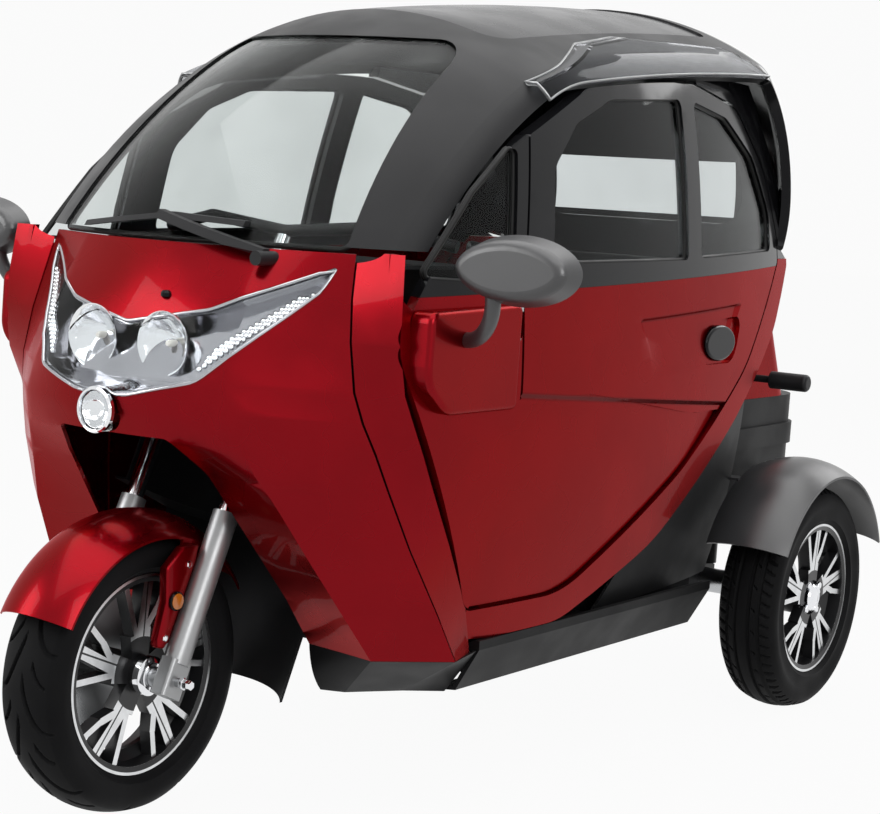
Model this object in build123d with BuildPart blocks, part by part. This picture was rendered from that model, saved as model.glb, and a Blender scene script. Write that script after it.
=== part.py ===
from build123d import *
from math import asin, cos, degrees, radians, sin
import os

os.makedirs("parts", exist_ok=True)

# A three wheeled cabin car: one steered wheel in front, two driven wheels behind.
# Millimetres, +Z up, +Y to the rear, +X to the car's left; the origin is on the ground
# under the middle of the car.

# ---------------------------------------------------------------- driving sizes
FRONT_AXLE_Y = -862.0       # the front axle, measured from the origin
WHEELBASE = 1611.0
REAR_TRACK = 980.0          # between the middles of the rear tyres

FRONT_TYRE_R = 243.0
FRONT_TYRE_W = 130.0
FRONT_RIM_R = 173.0
REAR_TYRE_R = 247.0
REAR_TYRE_W = 135.0
REAR_RIM_R = 163.0

RAKE = 25.0                 # steering axis, leaning back from the upright
AXLE_LEAD = 32.0            # the front axle's distance ahead of the steering axis
FORK_SPREAD = 212.0         # between the two fork legs
STANCHION_R = 16.0
SLIDER_R = 23.0

WALL = 26.0                 # doors and cabin walls
ROOF_WALL = 20.0
SHEET = 8.0                 # moulded outer panels
GLASS = 5.0
SEAM = 4.0                  # between fixed panels
SEAL = 0.3                  # between pieces that bear on each other
DOOR_SEAM = 6.0             # round a door

# Side and front views, drawn back from the front axle and up from the ground.
SIDE = Plane(origin=(0, FRONT_AXLE_Y, 0), x_dir=(0, 1, 0), z_dir=(1, 0, 0))
FRONT = Plane(origin=(0, FRONT_AXLE_Y, 0), x_dir=(1, 0, 0), z_dir=(0, -1, 0))
FRONT_AXLE = Axis((0, FRONT_AXLE_Y, FRONT_TYRE_R), (1, 0, 0))
REAR_AXLE = Axis((0, FRONT_AXLE_Y + WHEELBASE, REAR_TYRE_R), (1, 0, 0))

# The steering axis, as a plane whose z runs up the axis and whose y points back.
LEAN = radians(RAKE)
STEERING = Plane(
    origin=(0, FRONT_AXLE_Y + AXLE_LEAD * cos(LEAN), FRONT_TYRE_R - AXLE_LEAD * sin(LEAN)),
    x_dir=(1, 0, 0),
    z_dir=(0, sin(LEAN), cos(LEAN)),
)


def plan(z):
    """A level plane at height z whose y runs back from the front axle."""
    return Plane(origin=(0, FRONT_AXLE_Y, z))


def save(part, label):
    """Label a finished piece and write it as its own file."""
    part.label = label
    export_step(part, f"parts/{label}.step")


def save_pair(left, label):
    """Write a left-hand piece and its mirror image on the right."""
    with BuildPart() as right:
        mirror(left, about=Plane.YZ)
    save(left, f"{label}_left")
    save(right.part, f"{label}_right")


def save_both(left, label):
    """Write a left-hand piece and its mirror image together, as one node."""
    with BuildPart() as both:
        add(left)
        mirror(left, about=Plane.YZ)
    save(both.part, label)


def block(plane, outline, start, end, grow=0.0):
    """A block between two heights over a plane; the outline's rows are (x, y, radius)."""
    points = [(x, y) for x, y, _ in outline]
    radii = [radius for _, _, radius in outline]
    with BuildPart() as solid:
        with BuildSketch(plane.offset(start)):
            with BuildLine():
                FilletPolyline(*points, radius=radii, close=True)
            make_face()
            if grow:
                offset(amount=grow, kind=Kind.INTERSECTION)
        extrude(amount=end - start)
    return solid.part


# ---------------------------------------------------------------- cabin skin
# The cabin's middle line in side view runs from the foot of the windscreen over the
# roof and down the back, as tangent arcs that all bend the same way.
CROWN_START = (50.0, 966.0)
CROWN_HEADING = 55.4
CROWN_ARCS = (
    # radius, turn in degrees
    (1260.0, 27.6),
    (500.0, 20.0),
    (8000.0, 5.5),
    (180.0, 38.0),
    (480.0, 47.0),
    (330.0, 32.0),
)
SCREEN, HEADER, ROOF, ROOF_EDGE, BACK, TAIL = range(6)

# Across the car the roof is one wide arc with a tighter shoulder arc on each side.
CROWN_R = 760.0
CROWN_HALF = 382.0
SHOULDER_R = 80.0
SHOULDER_END = 66.0         # how far the shoulder turns down, in degrees


def crown_rows():
    """The start (y, z), heading, radius and turn of each arc of the crown line."""
    y, z = CROWN_START
    heading = CROWN_HEADING
    rows = []
    for radius, turn in CROWN_ARCS:
        rows.append((y, z, heading, radius, turn))
        chord = 2 * radius * sin(radians(turn / 2))
        middle = radians(heading - turn / 2)
        y += chord * cos(middle)
        z += chord * sin(middle)
        heading -= turn
    return rows


def cabin_skin(depth, thickness, first, last, past_end=0.0):
    """The cabin's skin over a run of crown arcs, laid a depth under the outside."""
    lean = degrees(asin(CROWN_HALF / CROWN_R))
    hub_x = (CROWN_R - SHOULDER_R) * sin(radians(lean))
    hub_y = (CROWN_R - SHOULDER_R) * cos(radians(lean)) - CROWN_R
    swing = SHOULDER_END + past_end - lean
    with BuildPart() as skin:
        for y, z, heading, radius, turn in crown_rows()[first:last + 1]:
            rise = radians(heading)
            section = Plane(
                origin=(0, FRONT_AXLE_Y + y, z),
                x_dir=(1, 0, 0),
                z_dir=(0, -cos(rise), -sin(rise)),
            )
            with BuildSketch(section):
                with BuildLine():
                    ends = []
                    for inset in (depth, depth + thickness):
                        r = SHOULDER_R - inset
                        CenterArc((0, -CROWN_R), CROWN_R - inset, 90 - lean, 2 * lean)
                        right = CenterArc((hub_x, hub_y), r, 90 - lean, -swing)
                        left = CenterArc((-hub_x, hub_y), r, 90 + lean, swing)
                        ends.append((right @ 1, left @ 1))
                    Line(ends[0][0], ends[1][0])
                    Line(ends[0][1], ends[1][1])
                make_face()
            pivot = (0, FRONT_AXLE_Y + y + radius * sin(rise), z - radius * cos(rise))
            revolve(axis=Axis(pivot, (-1, 0, 0)), revolution_arc=turn)
    return skin.part


# Each side wall is one front-view curve carried round a far upright axis.
SIDE_MID_Y = 800.0          # where the plan is widest
SIDE_PLAN_R = 4000.0
SIDE_FRONT = -10.0          # plan angles of the wall's two ends
SIDE_BACK = 14.5
SIDE_SECTION = (
    # half width, height
    (430.0, 280.0),
    (488.0, 560.0),
    (500.0, 760.0),
    (486.0, 960.0),
    (412.0, 1335.0),
)


def side_wall(depth, thickness):
    """The left wall's skin, laid a depth under the outside of the car."""
    axis_x = SIDE_SECTION[2][0] - SIDE_PLAN_R
    turn = radians(SIDE_FRONT)
    section = Plane(
        origin=(axis_x, FRONT_AXLE_Y + SIDE_MID_Y, 0),
        x_dir=(cos(turn), sin(turn), 0),
        z_dir=(sin(turn), -cos(turn), 0),
    )
    with BuildPart() as skin:
        with BuildSketch(section):
            with BuildLine():
                for inset in (depth, depth + thickness):
                    line = [(x - axis_x - inset, z) for x, z in SIDE_SECTION]
                    ThreePointArc(*line[0:3])
                    ThreePointArc(*line[2:5])
                for x, z in (SIDE_SECTION[0], SIDE_SECTION[4]):
                    Line((x - axis_x - depth, z), (x - axis_x - depth - thickness, z))
            make_face()
        revolve(
            axis=Axis((axis_x, FRONT_AXLE_Y + SIDE_MID_Y, 0), (0, 0, 1)),
            revolution_arc=SIDE_BACK - SIDE_FRONT,
        )
    return skin.part


# The front skin is a loft through level sections: a wide arc over the middle, a flatter
# side out to the seam with the hoop, and the hoop's leg out to the cabin opening.
FRONT_SECTIONS = (
    # z, middle y, ridge x, ridge y, seam x, seam y, corner x, corner y
    (980.0, 56.0, 200.0, 90.0, 333.0, 152.0, 434.0, 146.0),
    (900.0, 6.0, 200.0, 40.0, 343.0, 130.0, 441.0, 137.0),
    (830.0, -26.0, 200.0, 2.0, 356.0, 115.0, 445.0, 132.0),
    (750.0, -84.0, 215.0, -20.0, 372.0, 110.0, 448.0, 148.0),
    (700.0, -80.0, 222.0, -27.0, 385.0, 121.0, 450.0, 176.0),
    (650.0, -58.0, 240.0, -4.0, 400.0, 140.0, 451.0, 206.0),
    (590.0, 16.0, 262.0, 30.0, 414.0, 162.0, 451.0, 240.0),
    (490.0, 108.0, 300.0, 85.0, 433.0, 207.0, 449.0, 302.0),
    (370.0, 212.0, 335.0, 165.0, 448.0, 282.0, 436.0, 384.0),
    (285.0, 268.0, 352.0, 230.0, 452.0, 338.0, 426.0, 420.0),
)


def front_skin(depth, thickness):
    """The nose and its two sides out to the seams, laid a depth behind the outside."""
    with BuildPart() as skin:
        for z, mid_y, ridge_x, ridge_y, seam_x, seam_y, _, _ in FRONT_SECTIONS:
            with BuildSketch(plan(z)):
                with BuildLine():
                    ends = []
                    for inset in (depth, depth + thickness):
                        ridge = (ridge_x - 0.5 * inset, ridge_y + inset)
                        seam = (seam_x - 0.7 * inset, seam_y + inset)
                        other_ridge = (-ridge[0], ridge[1])
                        other_seam = (-seam[0], seam[1])
                        ThreePointArc(other_ridge, (0, mid_y + inset), ridge)
                        Line(ridge, seam)
                        Line(other_ridge, other_seam)
                        ends.append((seam, other_seam))
                    Line(ends[0][0], ends[1][0])
                    Line(ends[0][1], ends[1][1])
                make_face()
        loft(ruled=True)
    return skin.part


def front_leg(depth, thickness):
    """The left hoop's front leg, from the seam out to the cabin opening."""
    with BuildPart() as skin:
        for z, _, _, _, seam_x, seam_y, corner_x, corner_y in FRONT_SECTIONS:
            seam = Vector(seam_x, seam_y)
            corner = Vector(corner_x, corner_y)
            start = seam + (corner - seam).normalized() * SEAM
            inner = Vector(-0.7, 1) * (depth + thickness)
            outer = Vector(-0.7, 1) * depth
            with BuildSketch(plan(z)):
                with BuildLine():
                    Polyline(start + outer, corner + outer, corner + inner, start + inner,
                             close=True)
                make_face()
        loft(ruled=True)
    return skin.part


# ---------------------------------------------------------------- outlines
# Side-view outlines: y from the front axle, z, corner radius.
CABIN_OPENING = (
    (150.0, 995.0, 10.0),
    (128.0, 810.0, 120.0),
    (385.0, 362.0, 40.0),
    (680.0, 362.0, 250.0),
    (1060.0, 560.0, 700.0),
    (1350.0, 752.0, 500.0),
    (1572.0, 968.0, 20.0),
)
HOOP_BACK_Y = 1650.0
HOOP_OUTLINE = (
    (150.0, 978.0, 2.0),
    (100.0, 800.0, 50.0),
    (310.0, 318.0, 10.0),
    (480.0, 302.0, 100.0),
    (700.0, 305.0, 200.0),
    (1000.0, 425.0, 500.0),
    (1320.0, 650.0, 500.0),
    (1540.0, 825.0, 300.0),
    (HOOP_BACK_Y, 960.0, 10.0),
    (HOOP_BACK_Y, 985.0, 2.0),
    (1560.0, 985.0, 2.0),
)
CABIN_TOP = (
    (1572.0, 1020.0, 40.0),
    (1500.0, 1165.0, 100.0),
    (1360.0, 1285.0, 90.0),
    (1130.0, 1318.0, 200.0),
    (900.0, 1314.0, 200.0),
    (700.0, 1286.0, 200.0),
    (490.0, 1190.0, 150.0),
)
FRONT_PANE = (
    (533.0, 966.0, 15.0),
    (553.0, 1130.0, 60.0),
    (640.0, 1212.0, 60.0),
    (770.0, 1262.0, 80.0),
    (1058.0, 1280.0, 15.0),
    (1030.0, 975.0, 15.0),
)
REAR_PANE = (
    (1092.0, 978.0, 12.0),
    (1120.0, 1280.0, 15.0),
    (1290.0, 1258.0, 60.0),
    (1430.0, 1185.0, 80.0),
    (1515.0, 1070.0, 60.0),
    (1512.0, 992.0, 20.0),
)
QUARTER_PANE = (
    (190.0, 938.0, 10.0),
    (330.0, 1080.0, 60.0),
    (452.0, 1170.0, 10.0),
    (416.0, 930.0, 10.0),
)
BELT = ((100.0, 905.0), (1600.0, 962.0))
DOOR_FRONT = ((398.0, 340.0), (398.0, 420.0), (440.0, 740.0), (440.0, 910.0), (488.0, 1200.0))

LEFT = (250.0, 720.0)       # from inside the left wall to outside the car
THROUGH = (-720.0, 720.0)


def straight_block(plane, points, start, end):
    """A block between two heights over a plane, with straight edges."""
    with BuildPart() as solid:
        with BuildSketch(plane.offset(start)):
            with BuildLine():
                Polyline(*points, close=True)
            make_face()
        extrude(amount=end - start)
    return solid.part


wall = side_wall(0, WALL)
opening = block(SIDE, CABIN_OPENING + CABIN_TOP, *LEFT)
door_hole = block(SIDE, CABIN_OPENING + CABIN_TOP, *LEFT, -DOOR_SEAM)
hoop_area = block(SIDE, HOOP_OUTLINE, *LEFT)
seam_line = [(y + DOOR_SEAM, z) for y, z in DOOR_FRONT]
behind_seam = straight_block(SIDE, seam_line + [(600, 1400), (2000, 1400), (2000, 340)], *LEFT)
ahead_of_seam = straight_block(SIDE, list(DOOR_FRONT) + [(488, 1400), (0, 1400), (0, 340)], *LEFT)
below_belt = straight_block(SIDE, (BELT[0], BELT[1], (1700, 962), (1700, 200), (100, 200)), *LEFT)
above_belt = straight_block(
    SIDE,
    ((BELT[0][0], BELT[0][1] + SEAL), (BELT[1][0], BELT[1][1] + SEAL), (1700, 966),
     (1700, 1400), (100, 1400)),
    *LEFT,
)

# ---------------------------------------------------------------- doors
under_roof = wall - cabin_skin(-60, 60 + ROOF_WALL + DOOR_SEAM, SCREEN, TAIL, 6.0)
door = under_roof & door_hole & behind_seam
# Below the ledge the door's outside steps in, and the handle sits in a pocket.
STEP_IN = 8.0
LEDGE = (
    (400.0, 718.0, 1.0),
    (640.0, 738.0, 200.0),
    (1080.0, 676.0, 400.0),
    (1345.0, 674.0, 100.0),
    (1480.0, 740.0, 1.0),
    (1700.0, 740.0, 1.0),
    (1700.0, 250.0, 1.0),
    (400.0, 250.0, 1.0),
)
POCKET = (
    (1065.0, 850.0, 10.0),
    (1310.0, 862.0, 20.0),
    (1270.0, 768.0, 60.0),
    (1085.0, 770.0, 60.0),
)
outside = side_wall(-1, 1 + STEP_IN)
with BuildPart() as door_panel:
    add(door & below_belt)
    add(outside & block(SIDE, LEDGE, *LEFT), mode=Mode.SUBTRACT)
    add(outside & block(SIDE, POCKET, *LEFT), mode=Mode.SUBTRACT)
save_pair(door_panel.part, "door_panel")

with BuildPart() as door_frame:
    add(door & above_belt)
    add(block(SIDE, FRONT_PANE, *LEFT), mode=Mode.SUBTRACT)
    add(block(SIDE, REAR_PANE, *LEFT), mode=Mode.SUBTRACT)
save_pair(door_frame.part, "door_frame")

pane = side_wall(10, GLASS)
with BuildPart() as door_glass:
    add(pane & block(SIDE, FRONT_PANE, *LEFT, -0.3))
    add(pane & block(SIDE, REAR_PANE, *LEFT, -0.3))
save_pair(door_glass.part, "door_glass")

HANDLE_AT = (1190.0, 810.0)
HANDLE_SIZE = (126.0, 72.0)
with BuildPart() as door_handle:
    with BuildSketch(SIDE.offset(466)):
        with Locations(HANDLE_AT):
            Ellipse(HANDLE_SIZE[0] / 2, HANDLE_SIZE[1] / 2)
    extrude(amount=16)
    fillet(door_handle.edges().sort_by(Axis.X)[-1], 6)
    add(side_wall(STEP_IN - SEAL, WALL), mode=Mode.SUBTRACT)
save_pair(door_handle.part, "door_handle")

# ---------------------------------------------------------------- door hinges
# The doors swing on upright pins hidden in pockets ahead of the seam, and each knuckle
# reaches round behind the seam to the door's inside.
HINGE_X = 470.0
HINGE_Y = 420.0
HINGE_HEIGHTS = (775.0, 862.0)
HINGE_POCKET = 76.0
HINGE_PIN_R = 5.0
KNUCKLE = 38.0
KNUCKLE_ARM = (
    # x, y in plan
    (464.0, 417.0), (446.0, 417.0), (442.0, 440.0), (444.0, 462.0), (444.0, 500.0),
    (451.0, 500.0), (451.0, 458.0), (448.0, 440.0), (452.0, 424.0), (464.0, 424.0),
)
PAD = ((446.0, 470.0, 1.0), (470.0, 470.0, 1.0), (470.0, 500.0, 1.0), (446.0, 500.0, 1.0))
with BuildPart() as hinge_pins:
    for z in HINGE_HEIGHTS:
        with Locations((HINGE_X, FRONT_AXLE_Y + HINGE_Y, z)):
            Cylinder(HINGE_PIN_R, HINGE_POCKET)
        for end in (-1, 1):
            with Locations((HINGE_X + 8, FRONT_AXLE_Y + HINGE_Y, z + end * (KNUCKLE / 2 + 10))):
                Box(24, 44, 12, align=(Align.MAX, Align.CENTER, Align.CENTER))
save_both(hinge_pins.part, "hinge_pins")
with BuildPart() as hinge_knuckles:
    for z in HINGE_HEIGHTS:
        with Locations((HINGE_X, FRONT_AXLE_Y + HINGE_Y, z)):
            Cylinder(HINGE_PIN_R + 3, KNUCKLE)
        with BuildSketch(plan(z - KNUCKLE / 2)):
            with BuildLine():
                Polyline(*KNUCKLE_ARM, close=True)
            make_face()
        extrude(amount=KNUCKLE)
        add(block(plan(z), PAD, -KNUCKLE / 2, KNUCKLE / 2) - side_wall(-SEAL, WALL + 2 * SEAL))
        with Locations((HINGE_X, FRONT_AXLE_Y + HINGE_Y, z)):
            Cylinder(HINGE_PIN_R + 0.05, KNUCKLE + 2, mode=Mode.SUBTRACT)
save_pair(hinge_knuckles.part, "hinge_knuckles")

# ---------------------------------------------------------------- fixed side panels
# The mirror stands on a swelling of the panel ahead of the door.
SWELLING_X = (444.0, 486.0)
SWELLING_OUTLINE = (
    (160.0, 888.0, 20.0),
    (433.0, 898.0, 14.0),
    (431.0, 718.0, 14.0),
    (220.0, 718.0, 60.0),
    (156.0, 770.0, 60.0),
)
quarter = under_roof & block(SIDE, CABIN_OPENING + CABIN_TOP, *LEFT, -SEAM) & ahead_of_seam
with BuildPart() as swelling:
    add(block(SIDE, SWELLING_OUTLINE, *SWELLING_X))
    fillet(swelling.faces().sort_by(Axis.X)[-1].edges(), 10)
with BuildPart() as quarter_panel:
    add(quarter & below_belt)
    add(swelling.part)
    for z in HINGE_HEIGHTS:
        with Locations((HINGE_X + 10, FRONT_AXLE_Y + HINGE_Y + 25, z)):
            Box(60, 52, HINGE_POCKET, align=(Align.MAX, Align.MAX, Align.CENTER),
                mode=Mode.SUBTRACT)
save_both(quarter_panel.part, "quarter_panel")

with BuildPart() as quarter_window:
    glazed = (quarter & above_belt) - block(SIDE, QUARTER_PANE, *LEFT)
    add([solid for solid in glazed.solids() if solid.volume > 1000])
save_both(quarter_window.part, "quarter_frame")

with BuildPart() as quarter_glass:
    add(pane & block(SIDE, QUARTER_PANE, *LEFT, -0.3))
save_both(quarter_glass.part, "quarter_glass")

# The hoop runs down beside the nose, under the door and up behind it. Its front leg is
# the part of the front skin outside the nose's seam.
HOOP_TOP = 975.0
HOOP_WALL = 24.0
ahead_of_opening = straight_block(
    SIDE, ((-100, 250), (330, 250), (395, 362), (200, 700), (200, 1300), (-100, 1300)), *LEFT)
# Its deep inner edge carries a flange behind the fixed panel and the door.
HOOP_DEPTH = 36.0
FLANGE_OVER = 16.0
flange = block(SIDE, CABIN_OPENING + CABIN_TOP, *LEFT, 2.0) - block(
    SIDE, CABIN_OPENING + CABIN_TOP, *LEFT, -FLANGE_OVER)
behind_hinge = straight_block(SIDE, ((475, 300), (475, 1400), (2000, 1400), (2000, 300)), *LEFT)
with BuildPart() as side_hoop:
    add(front_leg(0, HOOP_WALL) - opening)
    add((side_wall(0, HOOP_DEPTH) & hoop_area) - opening - ahead_of_opening)
    add(side_wall(WALL + SEAL, HOOP_DEPTH - WALL - SEAL) & flange & ahead_of_seam)
    add(side_wall(WALL + DOOR_SEAM, HOOP_DEPTH - WALL - DOOR_SEAM) & flange & behind_hinge)
    with BuildSketch(plan(HOOP_TOP)):
        Rectangle(2000, 6000)
    extrude(amount=400, mode=Mode.SUBTRACT)
save_both(side_hoop.part, "side_hoop")

# The black frame behind the door, from the hoop up to the roof.
PILLAR_OUTLINE = (
    # y, z
    (1150.0, 1318.0), (1200.0, 975.6), (1650.0, 975.6), (1650.0, 1060.0), (1480.0, 1336.0),
    (1150.0, 1336.0),
)
with BuildPart() as side_frame:
    add(wall & straight_block(SIDE, PILLAR_OUTLINE, *LEFT))
    add(opening, mode=Mode.SUBTRACT)
    add(cabin_skin(-60, 80.5, SCREEN, TAIL), mode=Mode.SUBTRACT)
save_both(side_frame.part, "side_frame")

# ---------------------------------------------------------------- roof and screens
# Front-view outlines: x, z, corner radius.
SCREEN_OPENING = (
    (-318.0, 975.0, 15.0),
    (318.0, 975.0, 15.0),
    (262.0, 1345.0, 60.0),
    (-262.0, 1345.0, 60.0),
)
REAR_SCREEN_OPENING = (
    (-270.0, 1040.0, 60.0),
    (270.0, 1040.0, 60.0),
    (230.0, 1370.0, 60.0),
    (-230.0, 1370.0, 60.0),
)
ROOF_PANEL_OUTLINE = (
    # x, y from the front axle, corner radius
    (-290.0, 600.0, 60.0),
    (290.0, 600.0, 60.0),
    (290.0, 1400.0, 30.0),
    (-290.0, 1400.0, 30.0),
)
screen_hole = block(FRONT, SCREEN_OPENING, -700, 200)
with BuildPart() as roof_shell:
    add(cabin_skin(0, ROOF_WALL, SCREEN, ROOF))
    add(screen_hole, mode=Mode.SUBTRACT)
    add(block(plan(0), ROOF_PANEL_OUTLINE, 1200, 1600), mode=Mode.SUBTRACT)
    with BuildSketch(Plane.XY):
        Rectangle(1200, 3000)
    extrude(amount=980, mode=Mode.SUBTRACT)
save(roof_shell.part, "roof_shell")

with BuildPart() as roof_panel:
    add(cabin_skin(4, ROOF_WALL - 4, SCREEN, ROOF) & block(
        plan(0), ROOF_PANEL_OUTLINE, 1200, 1600, -0.3))
save(roof_panel.part, "roof_panel")

with BuildPart() as windscreen:
    add(cabin_skin(4, GLASS, SCREEN, HEADER) & block(FRONT, SCREEN_OPENING, -700, 200, -0.3))
save(windscreen.part, "windscreen")

rear_hole = block(FRONT, REAR_SCREEN_OPENING, -2000, -1500)
with BuildPart() as rear_shell:
    add(cabin_skin(0, ROOF_WALL, ROOF_EDGE, TAIL))
    add(rear_hole, mode=Mode.SUBTRACT)
save(rear_shell.part, "rear_shell")

with BuildPart() as rear_screen:
    add(cabin_skin(4, GLASS, BACK, TAIL) & block(
        FRONT, REAR_SCREEN_OPENING, -2000, -1500, -0.3))
save(rear_screen.part, "rear_screen")

# ---------------------------------------------------------------- nose and lamps
# Front-view outlines: x, z, corner radius.
LAMP_OUTLINE = (
    (0.0, 838.0, 40.0),
    (150.0, 868.0, 60.0),
    (316.0, 950.0, 4.0),
    (300.0, 905.0, 10.0),
    (170.0, 752.0, 40.0),
    (60.0, 722.0, 30.0),
    (0.0, 716.0, 10.0),
    (-60.0, 722.0, 30.0),
    (-170.0, 752.0, 40.0),
    (-300.0, 905.0, 10.0),
    (-316.0, 950.0, 4.0),
    (-150.0, 868.0, 60.0),
)
WHEEL_ARCH = (
    (-215.0, 150.0, 1.0),
    (-190.0, 370.0, 60.0),
    (-155.0, 600.0, 60.0),
    (-120.0, 655.0, 20.0),
    (120.0, 655.0, 20.0),
    (155.0, 600.0, 60.0),
    (190.0, 370.0, 60.0),
    (215.0, 150.0, 1.0),
)
LOWER_LAMP_AT = (0.0, 693.0)
LOWER_LAMP_R = 37.0
LENS = 4.0
LAMP_CUT = (-400.0, 250.0)

lamp_area = block(FRONT, LAMP_OUTLINE, *LAMP_CUT, -1.0)
with BuildPart() as above_lamps:
    with BuildSketch(FRONT.offset(LAMP_CUT[0])):
        with BuildLine():
            Polyline((-420, 952), (-316, 950), (-150, 868), (0, 836), (150, 868), (316, 950),
                     (420, 952), (420, 1100), (-420, 1100), close=True)
        make_face()
    extrude(amount=LAMP_CUT[1] - LAMP_CUT[0])
skin = front_skin(0, SHEET)
lamp_hole = block(FRONT, LAMP_OUTLINE, *LAMP_CUT)
with BuildPart() as lower_lamp_hole:
    with BuildSketch(FRONT.offset(LAMP_CUT[0])):
        with Locations(LOWER_LAMP_AT):
            Circle(LOWER_LAMP_R + 0.6)
    extrude(amount=LAMP_CUT[1] - LAMP_CUT[0])

with BuildPart() as nose_panel:
    add(skin & above_lamps.part)
    add(lamp_hole, mode=Mode.SUBTRACT)
    with BuildSketch(plan(970)):
        Rectangle(900, 900)
    extrude(amount=60, mode=Mode.SUBTRACT)
save(nose_panel.part, "nose_panel")

side_skin = skin - above_lamps.part - lamp_hole - lower_lamp_hole.part
side_skin = side_skin - block(FRONT, WHEEL_ARCH, -500, 300)
with BuildPart() as front_side_panel:
    add(side_skin)
    split(bisect_by=Plane.YZ.offset(SEAM / 2), keep=Keep.TOP)
save_both(front_side_panel.part, "front_side_panel")

with BuildPart() as headlamp_lens:
    add((front_skin(0, LENS) & lamp_area) - lower_lamp_hole.part)
save(headlamp_lens.part, "headlamp_lens")

with BuildPart() as headlamp_housing:
    add(front_skin(LENS + 40, 6) & lamp_area)
    add((front_skin(LENS + 0.3, 46) & lamp_area) - block(FRONT, LAMP_OUTLINE, *LAMP_CUT, -7.0))
    add(lower_lamp_hole.part, mode=Mode.SUBTRACT)
save(headlamp_housing.part, "headlamp_housing")

with BuildPart() as lower_lamp:
    with BuildSketch(FRONT.offset(30)):
        with Locations(LOWER_LAMP_AT):
            Circle(LOWER_LAMP_R)
    extrude(amount=60)
save(lower_lamp.part, "lower_lamp")

# The black guard under the nose carries its shape on down to the sills.
GUARD_ROWS = (
    # z, middle y, ridge x, ridge y, seam x, seam y, corner x, corner y
    (284.5, 268.0, 352.0, 230.0, 452.0, 338.0, 427.0, 442.0),
    (200.0, 245.0, 250.0, 300.0, 312.0, 388.0, 365.0, 442.0),
)
GUARD_SHEET = 6.0
with BuildPart() as lower_guard:
    for z, mid_y, ridge_x, ridge_y, seam_x, seam_y, corner_x, corner_y in GUARD_ROWS:
        with BuildSketch(plan(z)):
            with BuildLine():
                ends = []
                for inset in (0.0, GUARD_SHEET):
                    half = (
                        (ridge_x - 0.5 * inset, ridge_y + inset),
                        (seam_x - 0.7 * inset, seam_y + inset),
                        (corner_x - inset, corner_y),
                    )
                    other = [(-x, y) for x, y in half]
                    ThreePointArc(other[0], (0, mid_y + inset), half[0])
                    Polyline(*half)
                    Polyline(*other)
                    ends.append((half[2], other[2]))
                Line(ends[0][0], ends[1][0])
                Line(ends[0][1], ends[1][1])
            make_face()
    loft(ruled=True)
    add(block(FRONT, WHEEL_ARCH, -500, 300), mode=Mode.SUBTRACT)
save(lower_guard.part, "lower_guard")

# ---------------------------------------------------------------- steered front end
# Heights along the steering axis are measured from the point abeam of the front axle.
LOWER_CLAMP = 490.0
UPPER_CLAMP = 620.0
CLAMP_THICK = 28.0
HEAD_TUBE_R = 30.0
STEERER_R = 14.0
LEG_AHEAD = -AXLE_LEAD       # y of the fork legs in the steering plane
SLIDER_TOP = 300.0
BAR_HEIGHT = 840.0
BAR_R = 11.0
STAY_X = 75.0


def leg(height):
    """The steering plane at a height, for sketches square to the fork."""
    return STEERING.offset(height)


with BuildPart() as fork:
    for height in (LOWER_CLAMP, UPPER_CLAMP):
        with BuildSketch(leg(height)):
            with Locations((0, LEG_AHEAD / 2)):
                RectangleRounded(FORK_SPREAD + 60, 64, 26)
        extrude(amount=CLAMP_THICK)
    for x in (-FORK_SPREAD / 2, FORK_SPREAD / 2):
        with BuildSketch(leg(SLIDER_TOP - 60)):
            with Locations((x, LEG_AHEAD)):
                Circle(STANCHION_R)
        extrude(amount=UPPER_CLAMP + CLAMP_THICK + 8 - SLIDER_TOP + 60)
    with BuildSketch(leg(LOWER_CLAMP)):
        Circle(STEERER_R)
    extrude(amount=BAR_HEIGHT - BAR_R - LOWER_CLAMP)
save(fork.part, "fork")

with BuildPart() as fork_sliders:
    for x in (-FORK_SPREAD / 2, FORK_SPREAD / 2):
        with BuildSketch(leg(30)):
            with Locations((x, LEG_AHEAD)):
                Circle(SLIDER_R)
        extrude(amount=SLIDER_TOP - 30)
        with BuildSketch(leg(-28)):
            with Locations((x, LEG_AHEAD)):
                RectangleRounded(34, 50, 8)
        extrude(amount=64)
    with Locations(Plane(FRONT_AXLE.position, x_dir=(0, 1, 0), z_dir=(1, 0, 0))):
        Cylinder(8.05, 400, mode=Mode.SUBTRACT)
    for x in (-FORK_SPREAD / 2, FORK_SPREAD / 2):
        with BuildSketch(leg(SLIDER_TOP - 70)):
            with Locations((x, LEG_AHEAD)):
                Circle(STANCHION_R + 0.05)
        extrude(amount=200, mode=Mode.SUBTRACT)
save(fork_sliders.part, "fork_sliders")

HUB_HALF = 62.0
with BuildPart() as front_axle:
    with BuildSketch(SIDE.offset(-FORK_SPREAD / 2 - 34)):
        with Locations((0, FRONT_TYRE_R)):
            Circle(8)
    extrude(amount=FORK_SPREAD + 68)
    for start in (-FORK_SPREAD / 2 + 17.2, HUB_HALF + 0.5):
        with BuildSketch(SIDE.offset(start)):
            with Locations((0, FRONT_TYRE_R)):
                Circle(17)
        extrude(amount=FORK_SPREAD / 2 - HUB_HALF - 17.7)
save(front_axle.part, "front_axle")

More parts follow.
